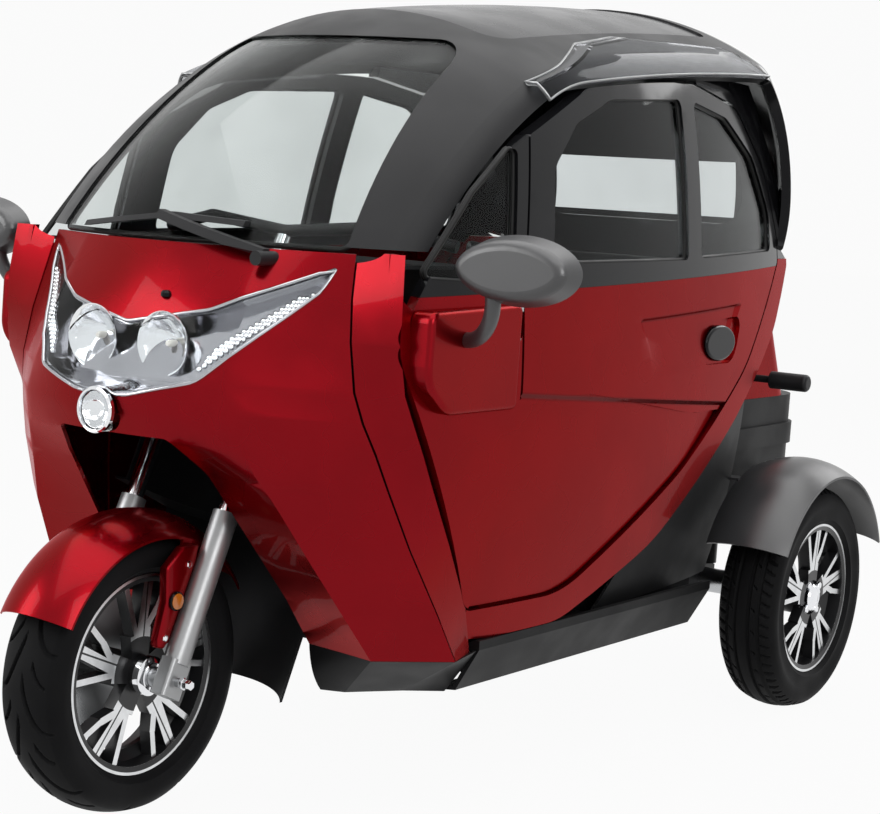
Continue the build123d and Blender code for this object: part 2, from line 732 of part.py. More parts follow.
FENDER_R = 278.0
FENDER_HALF = 80.0
FENDER_SHEET = 4.0
FENDER_SPANS = ((62.0, 1), (58.0, -1))      # degrees behind and ahead of the top
STAY = (
    # ahead and behind the steering axis, up it
    (-86.0, 234.0), (-22.0, 240.0), (-34.0, 62.0), (-60.0, 50.0),
)
STAY_SHEET = 5.0
FORK_SIDE = Plane(origin=STEERING.origin, x_dir=STEERING.y_dir, z_dir=(1, 0, 0))
with BuildPart() as front_fender:
    for turn, way in FENDER_SPANS:
        with BuildSketch(Plane(origin=FRONT_AXLE.position, x_dir=(1, 0, 0), z_dir=(0, -1, 0))):
            with BuildLine():
                outer = ThreePointArc(
                    (-FENDER_HALF, FENDER_R - 38), (0, FENDER_R), (FENDER_HALF, FENDER_R - 38))
                inner = ThreePointArc(
                    (-FENDER_HALF, FENDER_R - 38 - FENDER_SHEET),
                    (0, FENDER_R - FENDER_SHEET),
                    (FENDER_HALF, FENDER_R - 38 - FENDER_SHEET),
                )
                Line(outer @ 0, inner @ 0)
                Line(outer @ 1, inner @ 1)
            make_face()
        revolve(axis=Axis(FRONT_AXLE.position, (way, 0, 0)), revolution_arc=turn)
    for x in (-STAY_X - STAY_SHEET, STAY_X):
        with BuildSketch(FORK_SIDE.offset(x)):
            with BuildLine():
                Polyline(*STAY, close=True)
            make_face()
        extrude(amount=STAY_SHEET)
    for x in (-STAY_X - STAY_SHEET - 2.5, STAY_X + STAY_SHEET):
        with BuildSketch(FORK_SIDE.offset(x)):
            with Locations((LEG_AHEAD, 200), (LEG_AHEAD - 3, 82)):
                Circle(7)
        extrude(amount=2.5)
save(front_fender.part, "front_fender")

# The caliper holds the brake disc from behind the right fork leg.
DISC_R = 118.0
DISC_X = -46.0
DISC_SHEET = 4.0
CALIPER_AT = (52.0, 68.0)
with BuildPart() as brake_caliper:
    with BuildSketch(FORK_SIDE.offset(-66)):
        with Locations((CALIPER_AT[0], CALIPER_AT[1], 0)):
            with Locations(Location((0, 0, 0), (0, 0, -50))):
                RectangleRounded(46, 76, 8)
    extrude(amount=34)
    with Locations(Plane(FRONT_AXLE.position, x_dir=(0, 1, 0), z_dir=(1, 0, 0)).offset(
            DISC_X - DISC_SHEET / 2)):
        Cylinder(DISC_R + 6, DISC_SHEET + 6, mode=Mode.SUBTRACT)
    with BuildSketch(FORK_SIDE.offset(-106)):
        with BuildLine():
            Polyline((LEG_AHEAD + SLIDER_R + 0.5, 50), (LEG_AHEAD + SLIDER_R + 0.5, 110),
                     (40, 104), (60, 60), close=True)
        make_face()
    extrude(amount=106 - 58)
save(brake_caliper.part, "brake_caliper")

with BuildPart() as handlebar:
    with BuildLine() as bar_line:
        FilletPolyline(
            STEERING.from_local_coords((-330, 60, BAR_HEIGHT + 20)),
            STEERING.from_local_coords((-200, 20, BAR_HEIGHT + 30)),
            STEERING.from_local_coords((0, 0, BAR_HEIGHT)),
            STEERING.from_local_coords((200, 20, BAR_HEIGHT + 30)),
            STEERING.from_local_coords((330, 60, BAR_HEIGHT + 20)),
            radius=40,
        )
    with BuildSketch(bar_line.line ^ 0):
        Circle(BAR_R)
    sweep()
save(handlebar.part, "handlebar")

# ---------------------------------------------------------------- wheels
SPOKE_GROUPS = 5
SPOKE_DEPTH = 24.0
BEAD_GAP = 0.3
# Each group is two V-shaped pairs of legs cast on two arms from the hub.
SPOKE_LEGS = (
    # from: share of rim radius, angle; to: share of rim radius, angle; width
    (0.12, 29.0, 0.40, 27.0, 34.0),
    (0.12, 14.0, 0.46, 15.0, 34.0),
    (0.36, 28.5, 0.915, 33.5, 11.0),
    (0.36, 26.5, 0.915, 15.6, 11.0),
    (0.42, 15.5, 0.915, 11.6, 11.0),
    (0.42, 14.5, 0.66, 0.5, 13.0),
    (0.63, 1.0, 0.915, -2.4, 11.0),
)


def tyre(radius, width, rim_radius, rim_half):
    """A tyre about the X axis, open inside, seated on its rim's beads."""
    shoulder = 0.31 * width
    foot = rim_radius - 9
    half = (
        (rim_half - 6.4, foot + 0.4), (rim_half - 4.4, rim_radius + 0.4),
        (rim_half - 1, rim_radius + 0.6),
        (width / 2 - 4, radius - 62), (width / 2, radius - 38), (shoulder + 10, radius - 12),
    )
    inside = (
        (shoulder, radius - 24), (width / 2 - 12, radius - 42), (rim_half - 14, rim_radius + 8),
        (rim_half - 16, foot - 0.9),
    )
    with BuildPart() as rubber:
        with BuildSketch(Plane.XY):
            with BuildLine():
                Polyline(*half)
                ThreePointArc(half[-1], (0, radius), (-half[-1][0], half[-1][1]))
                Polyline(*[(-x, y) for x, y in half])
                Line(half[0], inside[-1])
                Polyline(*inside)
                ThreePointArc(inside[0], (0, radius - 13), (-inside[0][0], inside[0][1]))
                Polyline(*[(-x, y) for x, y in inside])
                Line((-half[0][0], half[0][1]), (-inside[-1][0], inside[-1][1]))
            make_face()
        revolve(axis=Axis.X)
    return rubber.part


def alloy_wheel(rim_radius, half_width, hub_radius, hub_half, bore, face_x):
    """A cast wheel about the X axis: rim, hub and five groups of double-V spokes."""
    barrel = (
        (0, rim_radius - 29), (half_width - 45, rim_radius - 29),
        (half_width - 34, rim_radius - 11), (half_width - 20, rim_radius - 11),
        (half_width - 6, rim_radius - 9),
        (half_width - 4, rim_radius), (half_width, rim_radius),
        (half_width, rim_radius - 6), (half_width - 3, rim_radius - 14),
        (half_width - 31, rim_radius - 17), (half_width - 43, rim_radius - 34),
        (0, rim_radius - 34),
    )
    with BuildPart() as cast:
        with BuildSketch(Plane.XY):
            with BuildLine():
                Polyline(*barrel)
                Polyline(*[(-x, y) for x, y in barrel])
            make_face()
            with Locations((0, (bore + hub_radius) / 2)):
                Rectangle(2 * hub_half, hub_radius - bore)
        revolve(axis=Axis.X)
        with BuildSketch(Plane.YZ.offset(face_x - SPOKE_DEPTH)):
            for group in range(SPOKE_GROUPS):
                for r1, a1, r2, a2, wide in SPOKE_LEGS:
                    turn = group * 360 / SPOKE_GROUPS
                    start = Vector(r1 * rim_radius, 0).rotate(Axis.Z, turn + a1)
                    end = Vector(r2 * rim_radius, 0).rotate(Axis.Z, turn + a2)
                    along = (end - start).normalized()
                    side = along.rotate(Axis.Z, 90) * (wide / 2)
                    with BuildLine():
                        Polyline(start + side, end + side, end - side, start - side, close=True)
                    make_face()
            Circle(hub_radius - 2, mode=Mode.SUBTRACT)
        extrude(amount=SPOKE_DEPTH)
        with BuildSketch(Plane.YZ.offset(-hub_half)):
            Circle(bore)
        extrude(amount=2 * hub_half, mode=Mode.SUBTRACT)
    return cast.part


FRONT_RIM_HALF = 48.0
REAR_RIM_HALF = 56.0
HUB_BORE = 8.05
AXLE_BORE = 14.05
front_place = Location((0, FRONT_AXLE_Y, FRONT_TYRE_R))
rear_place = Location((REAR_TRACK / 2, FRONT_AXLE_Y + WHEELBASE, REAR_TYRE_R))
save(tyre(FRONT_TYRE_R, FRONT_TYRE_W, FRONT_RIM_R, FRONT_RIM_HALF).moved(front_place),
     "front_tyre")
save(alloy_wheel(FRONT_RIM_R, FRONT_RIM_HALF, 32, HUB_HALF, HUB_BORE, 40).moved(front_place),
     "front_rim")
save_pair(tyre(REAR_TYRE_R, REAR_TYRE_W, REAR_RIM_R, REAR_RIM_HALF).moved(rear_place),
          "rear_tyre")
save_pair(alloy_wheel(REAR_RIM_R, REAR_RIM_HALF, 40, 42, AXLE_BORE, 48).moved(rear_place),
          "rear_rim")

# ---------------------------------------------------------------- chassis
RAIL = 40.0
RAIL_X = 200.0
RAIL_LOW = 245.0
RAIL_HIGH = 420.0
CROSS_MEMBERS = (
    # y, z, half length
    (520.0, RAIL_LOW, 386.5),
    (940.0, RAIL_LOW, 386.5),
    (1310.0, RAIL_LOW, 386.5),
    (1550.0, RAIL_HIGH, 338.0),
    (1850.0, RAIL_HIGH, 330.0),
)
with BuildPart() as chassis_frame:
    for x in (-RAIL_X, RAIL_X):
        with BuildSketch(SIDE.offset(x - RAIL / 2)):
            with BuildLine():
                Polyline(
                    (500, RAIL_LOW - RAIL / 2), (1425, RAIL_LOW - RAIL / 2),
                    (1560, RAIL_HIGH - RAIL / 2), (1930, RAIL_HIGH - RAIL / 2),
                    (1930, RAIL_HIGH + RAIL / 2), (1545, RAIL_HIGH + RAIL / 2),
                    (1410, RAIL_LOW + RAIL / 2), (500, RAIL_LOW + RAIL / 2),
                    close=True,
                )
            make_face()
        extrude(amount=RAIL)
    for y, z, half in CROSS_MEMBERS:
        with Locations((0, FRONT_AXLE_Y + y, z)):
            Box(2 * half, RAIL, RAIL)
    with BuildSketch(SIDE.offset(-RAIL / 2)):
        with BuildLine():
            Polyline(
                (505, 245), (545, 245), (545, 757), (290, 757), (268, 745), (258, 715),
                (505, 715), close=True)
        make_face()
    extrude(amount=RAIL)
    with BuildSketch(leg(LOWER_CLAMP + CLAMP_THICK + 5)):
        Circle(HEAD_TUBE_R)
    extrude(amount=UPPER_CLAMP - LOWER_CLAMP - CLAMP_THICK - 10)
    with BuildSketch(leg(LOWER_CLAMP - 20)):
        Circle(STEERER_R + 1)
    extrude(amount=300, mode=Mode.SUBTRACT)
save(chassis_frame.part, "chassis_frame")

AXLE_TUBE_R = 27.0
REAR_SHAFT_R = 14.0
with BuildPart() as rear_axle:
    with Locations(Plane(REAR_AXLE.position, x_dir=(0, 1, 0), z_dir=(1, 0, 0))):
        Cylinder(AXLE_TUBE_R, 700)
        Cylinder(REAR_SHAFT_R, REAR_TRACK + 96)
        Cylinder(90, 210)
save(rear_axle.part, "rear_axle")

SHOCK_X = 255.0
SHOCK_R = 30.0
with BuildPart() as rear_suspension:
    for x in (-SHOCK_X, SHOCK_X):
        with BuildSketch(SIDE.offset(x - 20)):
            with BuildLine():
                Polyline((1340, 232), (1611, 205), (1660, 225), (1660, 275), (1611, 290),
                         (1340, 262), close=True)
            make_face()
            with Locations((WHEELBASE, REAR_TYRE_R)):
                Circle(AXLE_TUBE_R, mode=Mode.SUBTRACT)
        extrude(amount=40)
        with Locations((x, FRONT_AXLE_Y + 1345, RAIL_LOW), (x, FRONT_AXLE_Y + 1640, 430)):
            Box(2 * (SHOCK_X - RAIL_X - RAIL / 2), 30, 30)
        with BuildSketch(Plane(origin=(x, FRONT_AXLE_Y + 1640, 281))):
            Circle(SHOCK_R)
        extrude(amount=140)
save(rear_suspension.part, "rear_suspension")

# ---------------------------------------------------------------- floor and cabin
FLOOR_Z = RAIL_LOW + RAIL / 2 + SEAL
with BuildPart() as floor_pan:
    with BuildSketch(plan(FLOOR_Z)):
        with BuildLine():
            Polyline((-395, 550), (395, 550), (403, 700), (403, 1000), (395, 1330), (-395, 1330),
                     (-403, 1000), (-403, 700), close=True)
        make_face()
    extrude(amount=6)
save(floor_pan.part, "floor_pan")

with BuildPart() as seat_base:
    with Locations((0, FRONT_AXLE_Y + 1180, FLOOR_Z + 6)):
        Box(690, 440, 280, align=(Align.CENTER, Align.CENTER, Align.MIN))
    offset(amount=-8, openings=seat_base.faces().sort_by(Axis.Z)[0])
    with Locations((0, FRONT_AXLE_Y + 1420, FLOOR_Z + 286)):
        Box(690, 42, 8, align=(Align.CENTER, Align.CENTER, Align.MAX))
save(seat_base.part, "seat_base")

with BuildPart() as seat_cushion:
    with Locations((0, FRONT_AXLE_Y + 1160, FLOOR_Z + 286.3)):
        Box(680, 390, 90, align=(Align.CENTER, Align.CENTER, Align.MIN))
    fillet(seat_cushion.edges(), 20)
save(seat_cushion.part, "seat_cushion")

with BuildPart() as seat_back:
    with Locations(Location((0, FRONT_AXLE_Y + 1440, FLOOR_Z + 501.4), (-12, 0, 0))):
        Box(680, 80, 430)
    fillet(seat_back.edges(), 20)
save(seat_back.part, "seat_back")

BULKHEAD = (
    # y, z
    (185.0, 950.0), (420.0, 950.0), (520.0, 880.0), (585.0, 780.0), (600.0, 290.0),
    (606.0, 290.0), (591.0, 783.0), (525.0, 886.0), (422.0, 956.0), (185.0, 956.0),
)
with BuildPart() as dashboard:
    with BuildSketch(SIDE.offset(-395)):
        with BuildLine():
            Polyline(*BULKHEAD, close=True)
        make_face()
    extrude(amount=2 * 395)
    with BuildSketch(leg(700)):
        Circle(STEERER_R + 20)
    extrude(amount=200, mode=Mode.SUBTRACT)
save(dashboard.part, "dashboard")

# ---------------------------------------------------------------- wheel well
WELL_R = 252.0
WELL_TOP = 340.0
CLAMP_WELL_R = 165.0
CLAMP_WELL_TOP = 680.0
WELL_SHEET = 4.0
WELL_FOOT = 190.0
with BuildPart() as inner_guard:
    for radius, low, high in ((WELL_R, -90.0, WELL_TOP), (CLAMP_WELL_R, WELL_TOP, CLAMP_WELL_TOP)):
        with BuildSketch(leg(low)):
            Circle(radius + WELL_SHEET)
            Circle(radius, mode=Mode.SUBTRACT)
            with Locations((0, -radius)):
                Rectangle(4 * radius, 2 * radius, mode=Mode.SUBTRACT)
        extrude(amount=high - low)
    with BuildSketch(leg(WELL_TOP - WELL_SHEET)):
        Circle(WELL_R + WELL_SHEET)
        Circle(CLAMP_WELL_R, mode=Mode.SUBTRACT)
        with Locations((0, -WELL_R)):
            Rectangle(4 * WELL_R, 2 * WELL_R, mode=Mode.SUBTRACT)
    extrude(amount=WELL_SHEET)
    with BuildSketch(leg(CLAMP_WELL_TOP - WELL_SHEET)):
        Circle(CLAMP_WELL_R + WELL_SHEET)
        Circle(STEERER_R + 12, mode=Mode.SUBTRACT)
        with Locations((0, -CLAMP_WELL_R)):
            Rectangle(4 * CLAMP_WELL_R, 2 * CLAMP_WELL_R, mode=Mode.SUBTRACT)
    extrude(amount=WELL_SHEET)
    with Locations((0, FRONT_AXLE_Y + 400, 745)):
        Box(RAIL + 1, 300, 92, mode=Mode.SUBTRACT)
    for side in (-1, 1):
        with Locations((side * 295, FRONT_AXLE_Y + 200, 400)):
            Box(200, 1000, 1000, mode=Mode.SUBTRACT)
    with Locations((0, FRONT_AXLE_Y + 200, WELL_FOOT - 500)):
        Box(1000, 1000, 1000, mode=Mode.SUBTRACT)
save(inner_guard.part, "inner_guard")

# ---------------------------------------------------------------- lower body
SILL_OUTLINE = (
    # x, z
    (430.0, 301.5), (430.0, 285.0), (385.0, 205.0), (345.0, 200.0), (340.0, 206.0),
    (380.0, 212.0), (416.0, 280.0), (402.0, 285.0), (402.0, 291.0), (418.0, 301.5),
)
# Behind the hoop the black lower side runs up and back to the rear body.
LOWER_SIDE = (
    # y, z, corner radius
    (900.0, 290.0, 1.0),
    (1010.0, 440.0, 300.0),
    (1320.0, 665.0, 300.0),
    (1480.0, 800.0, 1.0),
    (1480.0, 290.0, 1.0),
)
SILL_START = 446.0
SILL_END = 1330.0
with BuildPart() as sill:
    with BuildSketch(FRONT.offset(-SILL_END)):
        with BuildLine():
            Polyline(*SILL_OUTLINE, close=True)
        make_face()
    extrude(amount=SILL_END - SILL_START)
    add(side_wall(HOOP_DEPTH + SEAL, 6) & block(SIDE, LOWER_SIDE, *LEFT))
save_both(sill.part, "sill")

FENDER_IN = 398.0
FENDER_OUT = 582.0
REAR_FENDER_R = 302.0
with BuildPart() as rear_fender:
    for turn, axis_dir in ((68.0, -1), (63.0, 1)):
        with BuildSketch(Plane(origin=REAR_AXLE.position, x_dir=(1, 0, 0), z_dir=(0, -1, 0))):
            with BuildLine():
                middle = (FENDER_IN + FENDER_OUT) / 2
                ThreePointArc((FENDER_IN, REAR_FENDER_R - 22), (middle, REAR_FENDER_R),
                              (FENDER_OUT, REAR_FENDER_R - 30))
                ThreePointArc((FENDER_IN, REAR_FENDER_R - 27), (middle, REAR_FENDER_R - 5),
                              (FENDER_OUT, REAR_FENDER_R - 35))
                Line((FENDER_IN, REAR_FENDER_R - 22), (FENDER_IN, REAR_FENDER_R - 27))
                Line((FENDER_OUT, REAR_FENDER_R - 30), (FENDER_OUT, REAR_FENDER_R - 35))
            make_face()
        revolve(axis=Axis(REAR_AXLE.position, (axis_dir, 0, 0)), revolution_arc=turn)
    with Locations((374, FRONT_AXLE_Y + 1500, 500), (374, FRONT_AXLE_Y + 1720, 500)):
        Box(58, 40, 6)
save_both(rear_fender.part, "rear_fender")


# The rear body is a moulded box with one proud rib, open underneath over the axle.
REAR_BODY = (
    # x, y, corner radius
    (-345.0, 1482.0, 10.0),
    (345.0, 1482.0, 10.0),
    (330.0, 1954.5, 120.0),
    (-330.0, 1954.5, 120.0),
)
REAR_BODY_TOP = 660.0
RIB = 8.0
RIB_HEIGHTS = (548.0, 596.0)
with BuildPart() as rear_body:
    add(block(plan(0), REAR_BODY, RAIL_HIGH + RAIL / 2 + SEAL, REAR_BODY_TOP))
    add(block(plan(0), REAR_BODY, *RIB_HEIGHTS, RIB))
    add(block(plan(0), REAR_BODY, RAIL_HIGH, REAR_BODY_TOP - SHEET, -SHEET), mode=Mode.SUBTRACT)
save(rear_body.part, "rear_body")

# The red tail rises from the rear body to the foot of the rear shell.
TAIL_SECTIONS = (
    # z, half width, front y, back y, corner radius
    (REAR_BODY_TOP + SEAL, 338.0, 1560.0, 1880.0, 100.0),
    (938.0, 322.0, 1560.0, 1742.0, 60.0),
)
with BuildPart() as rear_panel:
    for inset, mode in ((0.0, Mode.ADD), (SHEET, Mode.SUBTRACT)):
        with BuildPart(mode=Mode.PRIVATE) as tail:
            for z, half, front_y, back_y, radius in TAIL_SECTIONS:
                with BuildSketch(plan(z)):
                    with BuildLine():
                        FilletPolyline(
                            (-half + inset, front_y - 2 * inset),
                            (half - inset, front_y - 2 * inset),
                            (half - inset, back_y - inset),
                            (-half + inset, back_y - inset),
                            radius=[5.0, 5.0, radius - inset, radius - inset],
                            close=True,
                        )
                    make_face()
            loft(ruled=True)
        add(tail.part, mode=mode)
save(rear_panel.part, "rear_panel")

# Turn signals stand out on stalks, and two round lamps face the rear.
SIGNAL_AT = (1620.0, 710.0)
with BuildPart() as rear_signal:
    for start, length, radius in ((335.6, 63.0, 8.0), (396.0, 88.0, 19.0)):
        with BuildSketch(SIDE.offset(start)):
            with Locations(SIGNAL_AT):
                Circle(radius)
        extrude(amount=length)
    fillet(rear_signal.edges().sort_by(Axis.X)[-1], 8)
save_both(rear_signal.part, "rear_signal")

TAIL_LAMP_AT = (210.0, 510.0)
TAIL_LAMP_R = 34.0
with BuildPart() as tail_lamp:
    with BuildSketch(FRONT.offset(-1963)):
        with Locations(TAIL_LAMP_AT, (-TAIL_LAMP_AT[0], TAIL_LAMP_AT[1])):
            Circle(TAIL_LAMP_R)
    extrude(amount=8.2)
save(tail_lamp.part, "tail_lamp")

BATTERY = (360.0, 300.0, 200.0)
with BuildPart() as battery_pack:
    with Locations((0, FRONT_AXLE_Y + 1180, FLOOR_Z + 6)):
        Box(*BATTERY, align=(Align.CENTER, Align.CENTER, Align.MIN))
save(battery_pack.part, "battery_pack")

MIRROR_AT = (600.0, 962.0)
MIRROR_HALF = (112.0, 57.0)
MIRROR_BACK_Y = 232.0
MIRROR_ARM = ((480.0, 262.0, 842.0), (540.0, 235.0, 868.0), (556.0, 218.0, 930.0))
with BuildPart() as mirror_unit:
    with BuildSketch(FRONT.offset(-MIRROR_BACK_Y)):
        with Locations(MIRROR_AT):
            Ellipse(*MIRROR_HALF)
    extrude(amount=46, taper=14)
    fillet(mirror_unit.edges().sort_by(Axis.Y)[0], 18)
    with BuildLine() as arm:
        ThreePointArc(*[(x, FRONT_AXLE_Y + y, z) for x, y, z in MIRROR_ARM])
    with BuildSketch(arm.line ^ 0):
        Circle(13)
    sweep()
    with BuildSketch(SIDE.offset(400)):
        with Locations((260, 842)):
            Rectangle(200, 100)
    extrude(amount=SWELLING_X[1] + SEAL - 400, mode=Mode.SUBTRACT)
save_both(mirror_unit.part, "mirror")

# ---------------------------------------------------------------- wiper and rain visors
# The wiper lies on the foot of the windscreen. Front-view outlines: x, z.
BLADE = ((-208.0, 984.0), (0.0, 1009.0), (151.0, 1003.0), (151.0, 1012.0), (0.0, 1019.0),
         (-208.0, 993.0))
WIPER_ARM = ((214.0, 956.0), (214.0, 970.0), (-16.0, 1022.0), (-16.0, 1008.0))
WIPER_PIVOT = (212.0, 955.0)
with BuildPart() as wiper:
    add(cabin_skin(-12, 11.5, SCREEN, SCREEN) & straight_block(FRONT, BLADE, -300, 100))
    add(cabin_skin(-24, 13, SCREEN, SCREEN) & straight_block(FRONT, WIPER_ARM, -300, 100))
    with BuildSketch(FRONT.offset(-90)):
        with Locations(WIPER_PIVOT):
            Circle(12)
    extrude(amount=48)
    add(front_skin(-SEAL, 60), mode=Mode.SUBTRACT)
save(wiper.part, "wiper")

# A thin visor stands off the roof's shoulder over each door.
VISOR_OUT = 16.0
VISOR_SHEET = 3.0
VISOR_TOP = ((420.0, 1205.0), (540.0, 1272.0), (800.0, 1362.0), (960.0, 1388.0),
             (1300.0, 1398.0), (1420.0, 1350.0), (1530.0, 1250.0))
FLANGE = 6.0


def under_visor(drop):
    """The side area below the visor's top edge, lowered by a drop."""
    line = [(y, z - drop) for y, z in VISOR_TOP]
    return straight_block(SIDE, line + [(1530, 1100), (420, 1100)], *LEFT)


with BuildPart() as rain_visor:
    add(cabin_skin(-VISOR_OUT, VISOR_SHEET, HEADER, BACK) & under_visor(0))
    add((cabin_skin(-VISOR_OUT, VISOR_OUT - SEAL, HEADER, BACK) & under_visor(0))
        - under_visor(FLANGE))
save_both(rain_visor.part, "rain_visor")

# ---------------------------------------------------------------- number plate holder
PLATE_HOLES = 150.0
PLATE_HOLE_R = 3.25
with BuildPart() as plate_holder:
    with BuildSketch(FRONT.offset(-1967)):
        with Locations((0, 560)):
            Rectangle(200, 110)
            with GridLocations(PLATE_HOLES, 1, 2, 1):
                Circle(PLATE_HOLE_R, mode=Mode.SUBTRACT)
    extrude(amount=4)
save(plate_holder.part, "plate_holder")

# ---------------------------------------------------------------- front brake
with BuildPart() as brake_disc:
    with BuildSketch(SIDE.offset(DISC_X - DISC_SHEET)):
        with Locations((0, FRONT_TYRE_R)):
            Circle(DISC_R)
            Circle(32.0, mode=Mode.SUBTRACT)
    extrude(amount=DISC_SHEET)
save(brake_disc.part, "brake_disc")
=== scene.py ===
import math

import bpy
from mathutils import Matrix, Vector
from mathutils.bvhtree import BVHTree


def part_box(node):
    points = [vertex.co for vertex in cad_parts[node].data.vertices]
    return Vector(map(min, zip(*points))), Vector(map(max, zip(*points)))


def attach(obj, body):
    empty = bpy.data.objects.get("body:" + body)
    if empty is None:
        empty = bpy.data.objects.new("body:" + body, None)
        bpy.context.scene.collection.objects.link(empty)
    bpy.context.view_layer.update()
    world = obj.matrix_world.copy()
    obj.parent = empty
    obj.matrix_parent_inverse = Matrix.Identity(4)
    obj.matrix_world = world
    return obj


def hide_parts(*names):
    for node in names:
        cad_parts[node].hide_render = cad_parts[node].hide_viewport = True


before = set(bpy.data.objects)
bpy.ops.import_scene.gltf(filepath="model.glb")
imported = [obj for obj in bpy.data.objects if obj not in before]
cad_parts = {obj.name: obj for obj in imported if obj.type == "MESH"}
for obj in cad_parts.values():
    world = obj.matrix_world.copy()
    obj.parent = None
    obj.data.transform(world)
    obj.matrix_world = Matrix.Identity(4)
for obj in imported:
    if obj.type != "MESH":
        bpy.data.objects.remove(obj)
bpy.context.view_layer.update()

# Everything is in metres, with +Y to the rear and +X to the car's left. These are sizes of
# the CAD part that the pieces made here line up with.
FRONT_AXLE_Y = -0.862
WHEELBASE = 1.611
REAR_AXLE_Y = FRONT_AXLE_Y + WHEELBASE
HALF_TRACK = 0.490
FRONT_TYRE_R = 0.243
REAR_TYRE_R = 0.247
FRONT_RIM_R = 0.173
REAR_RIM_R = 0.163
SIDES = ((1, "left"), (-1, "right"))
SAME_POINT = 0.00002    # points of a CAD mesh that lie nearer than this are one
CREASE = 0.6            # radians: a new piece's edges sharper than this stay sharp


# ------------------------------------------------------------------ shared helpers
def take(piece):
    """Select one piece alone and make it active."""
    bpy.ops.object.select_all(action="DESELECT")
    piece.select_set(True)
    bpy.context.view_layer.objects.active = piece


def settle(piece):
    """Put a piece's place, turn and size into its mesh."""
    take(piece)
    bpy.ops.object.transform_apply(location=True, rotation=True, scale=True)


def added(name, data):
    """A new object in the scene, selected alone."""
    piece = bpy.data.objects.new(name, data)
    bpy.context.scene.collection.objects.link(piece)
    take(piece)
    return piece


def edit(*steps):
    """Run steps in edit mode on the active piece, each on its whole mesh."""
    bpy.ops.object.mode_set(mode="EDIT")
    for step in steps:
        bpy.ops.mesh.select_all(action="SELECT")
        step()
    bpy.ops.object.mode_set(mode="OBJECT")


def merge(distance):
    """A step for edit that merges the points nearer together than a distance."""
    return lambda: bpy.ops.mesh.remove_doubles(threshold=distance)


def face_out():
    """A step for edit that turns a closed mesh's faces outwards."""
    bpy.ops.mesh.normals_make_consistent(inside=False)


def merged_copy(node, name, *steps):
    """A copy of a CAD node whose doubled points are merged, with more steps for edit."""
    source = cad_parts[node]
    piece = source.copy()
    piece.data = source.data.copy()
    piece.parent = None
    piece.name = name
    for key in list(piece.keys()):
        del piece[key]
    bpy.context.scene.collection.objects.link(piece)
    take(piece)
    edit(merge(SAME_POINT), *steps)
    return piece


def coat(piece, finish):
    """Give a piece one finish in place of those it has."""
    piece.data.materials.clear()
    piece.data.materials.append(finish)


def surface_tree(node):
    """The outside of a CAD node, to cast rays at."""
    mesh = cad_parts[node].data
    return BVHTree.FromPolygons([v.co.copy() for v in mesh.vertices],
                                [tuple(p.vertices) for p in mesh.polygons])


def placed(nodes, tree, values):
    """A shader node group among a material's nodes, with its values set."""
    node = nodes.new("ShaderNodeGroup")
    node.node_tree = tree
    for name, value in values.items():
        node.inputs[name].default_value = value
    return node


def sums(finish):
    """A function that adds maths nodes to a finish and returns their results."""
    nodes = finish.node_tree.nodes
    link = finish.node_tree.links.new

    def calc(operation, *values):
        node = nodes.new("ShaderNodeMath")
        node.operation = operation
        for i, value in enumerate(values):
            if isinstance(value, (int, float)):
                node.inputs[i].default_value = value
            else:
                link(value, node.inputs[i])
        return node.outputs[0]

    return calc


def split(finish, kind):
    """The X, Y and Z of a surface point's Object position or of its Normal."""
    place = finish.node_tree.nodes.new("ShaderNodeTexCoord")
    parts = finish.node_tree.nodes.new("ShaderNodeSeparateXYZ")
    finish.node_tree.links.new(place.outputs[kind], parts.inputs[0])
    return parts.outputs["X"], parts.outputs["Y"], parts.outputs["Z"]


def between(finish, none, full, share):
    """A colour that goes from one where the share is 0 to the other where it is 1."""
    blend = finish.node_tree.nodes.new("ShaderNodeMix")
    blend.data_type = "RGBA"
    blend.inputs["A"].default_value = none
    blend.inputs["B"].default_value = full
    finish.node_tree.links.new(share, blend.inputs["Factor"])
    return blend.outputs["Result"]


def ramp(calc, value, start, end):
    """0 up to the start, 1 from the end on, and straight in between."""
    share = calc("DIVIDE", calc("SUBTRACT", value, start), end - start)
    return calc("MINIMUM", calc("MAXIMUM", share, 0.0), 1.0)


# ------------------------------------------------------------------ finishes
def node_tree(name, numbers, colours=()):
    """An empty shader node group with inputs, with its two ends and a place to start from."""
    group = bpy.data.node_groups.new(name, "ShaderNodeTree")
    for label in colours:
        group.interface.new_socket(label, in_out="INPUT", socket_type="NodeSocketColor")
    for label in numbers:
        group.interface.new_socket(label, in_out="INPUT", socket_type="NodeSocketFloat")
    inside = group.nodes.new("NodeGroupInput")
    outside = group.nodes.new("NodeGroupOutput")
    place = group.nodes.new("ShaderNodeTexCoord")
    return group, inside, outside, place


def smooth_swing(group):
    """A node that spreads the middle of a noise over a range, with soft ends."""
    swing = group.nodes.new("ShaderNodeMapRange")
    swing.interpolation_type = "SMOOTHSTEP"
    swing.inputs["From Min"].default_value = 0.3
    swing.inputs["From Max"].default_value = 0.7
    return swing


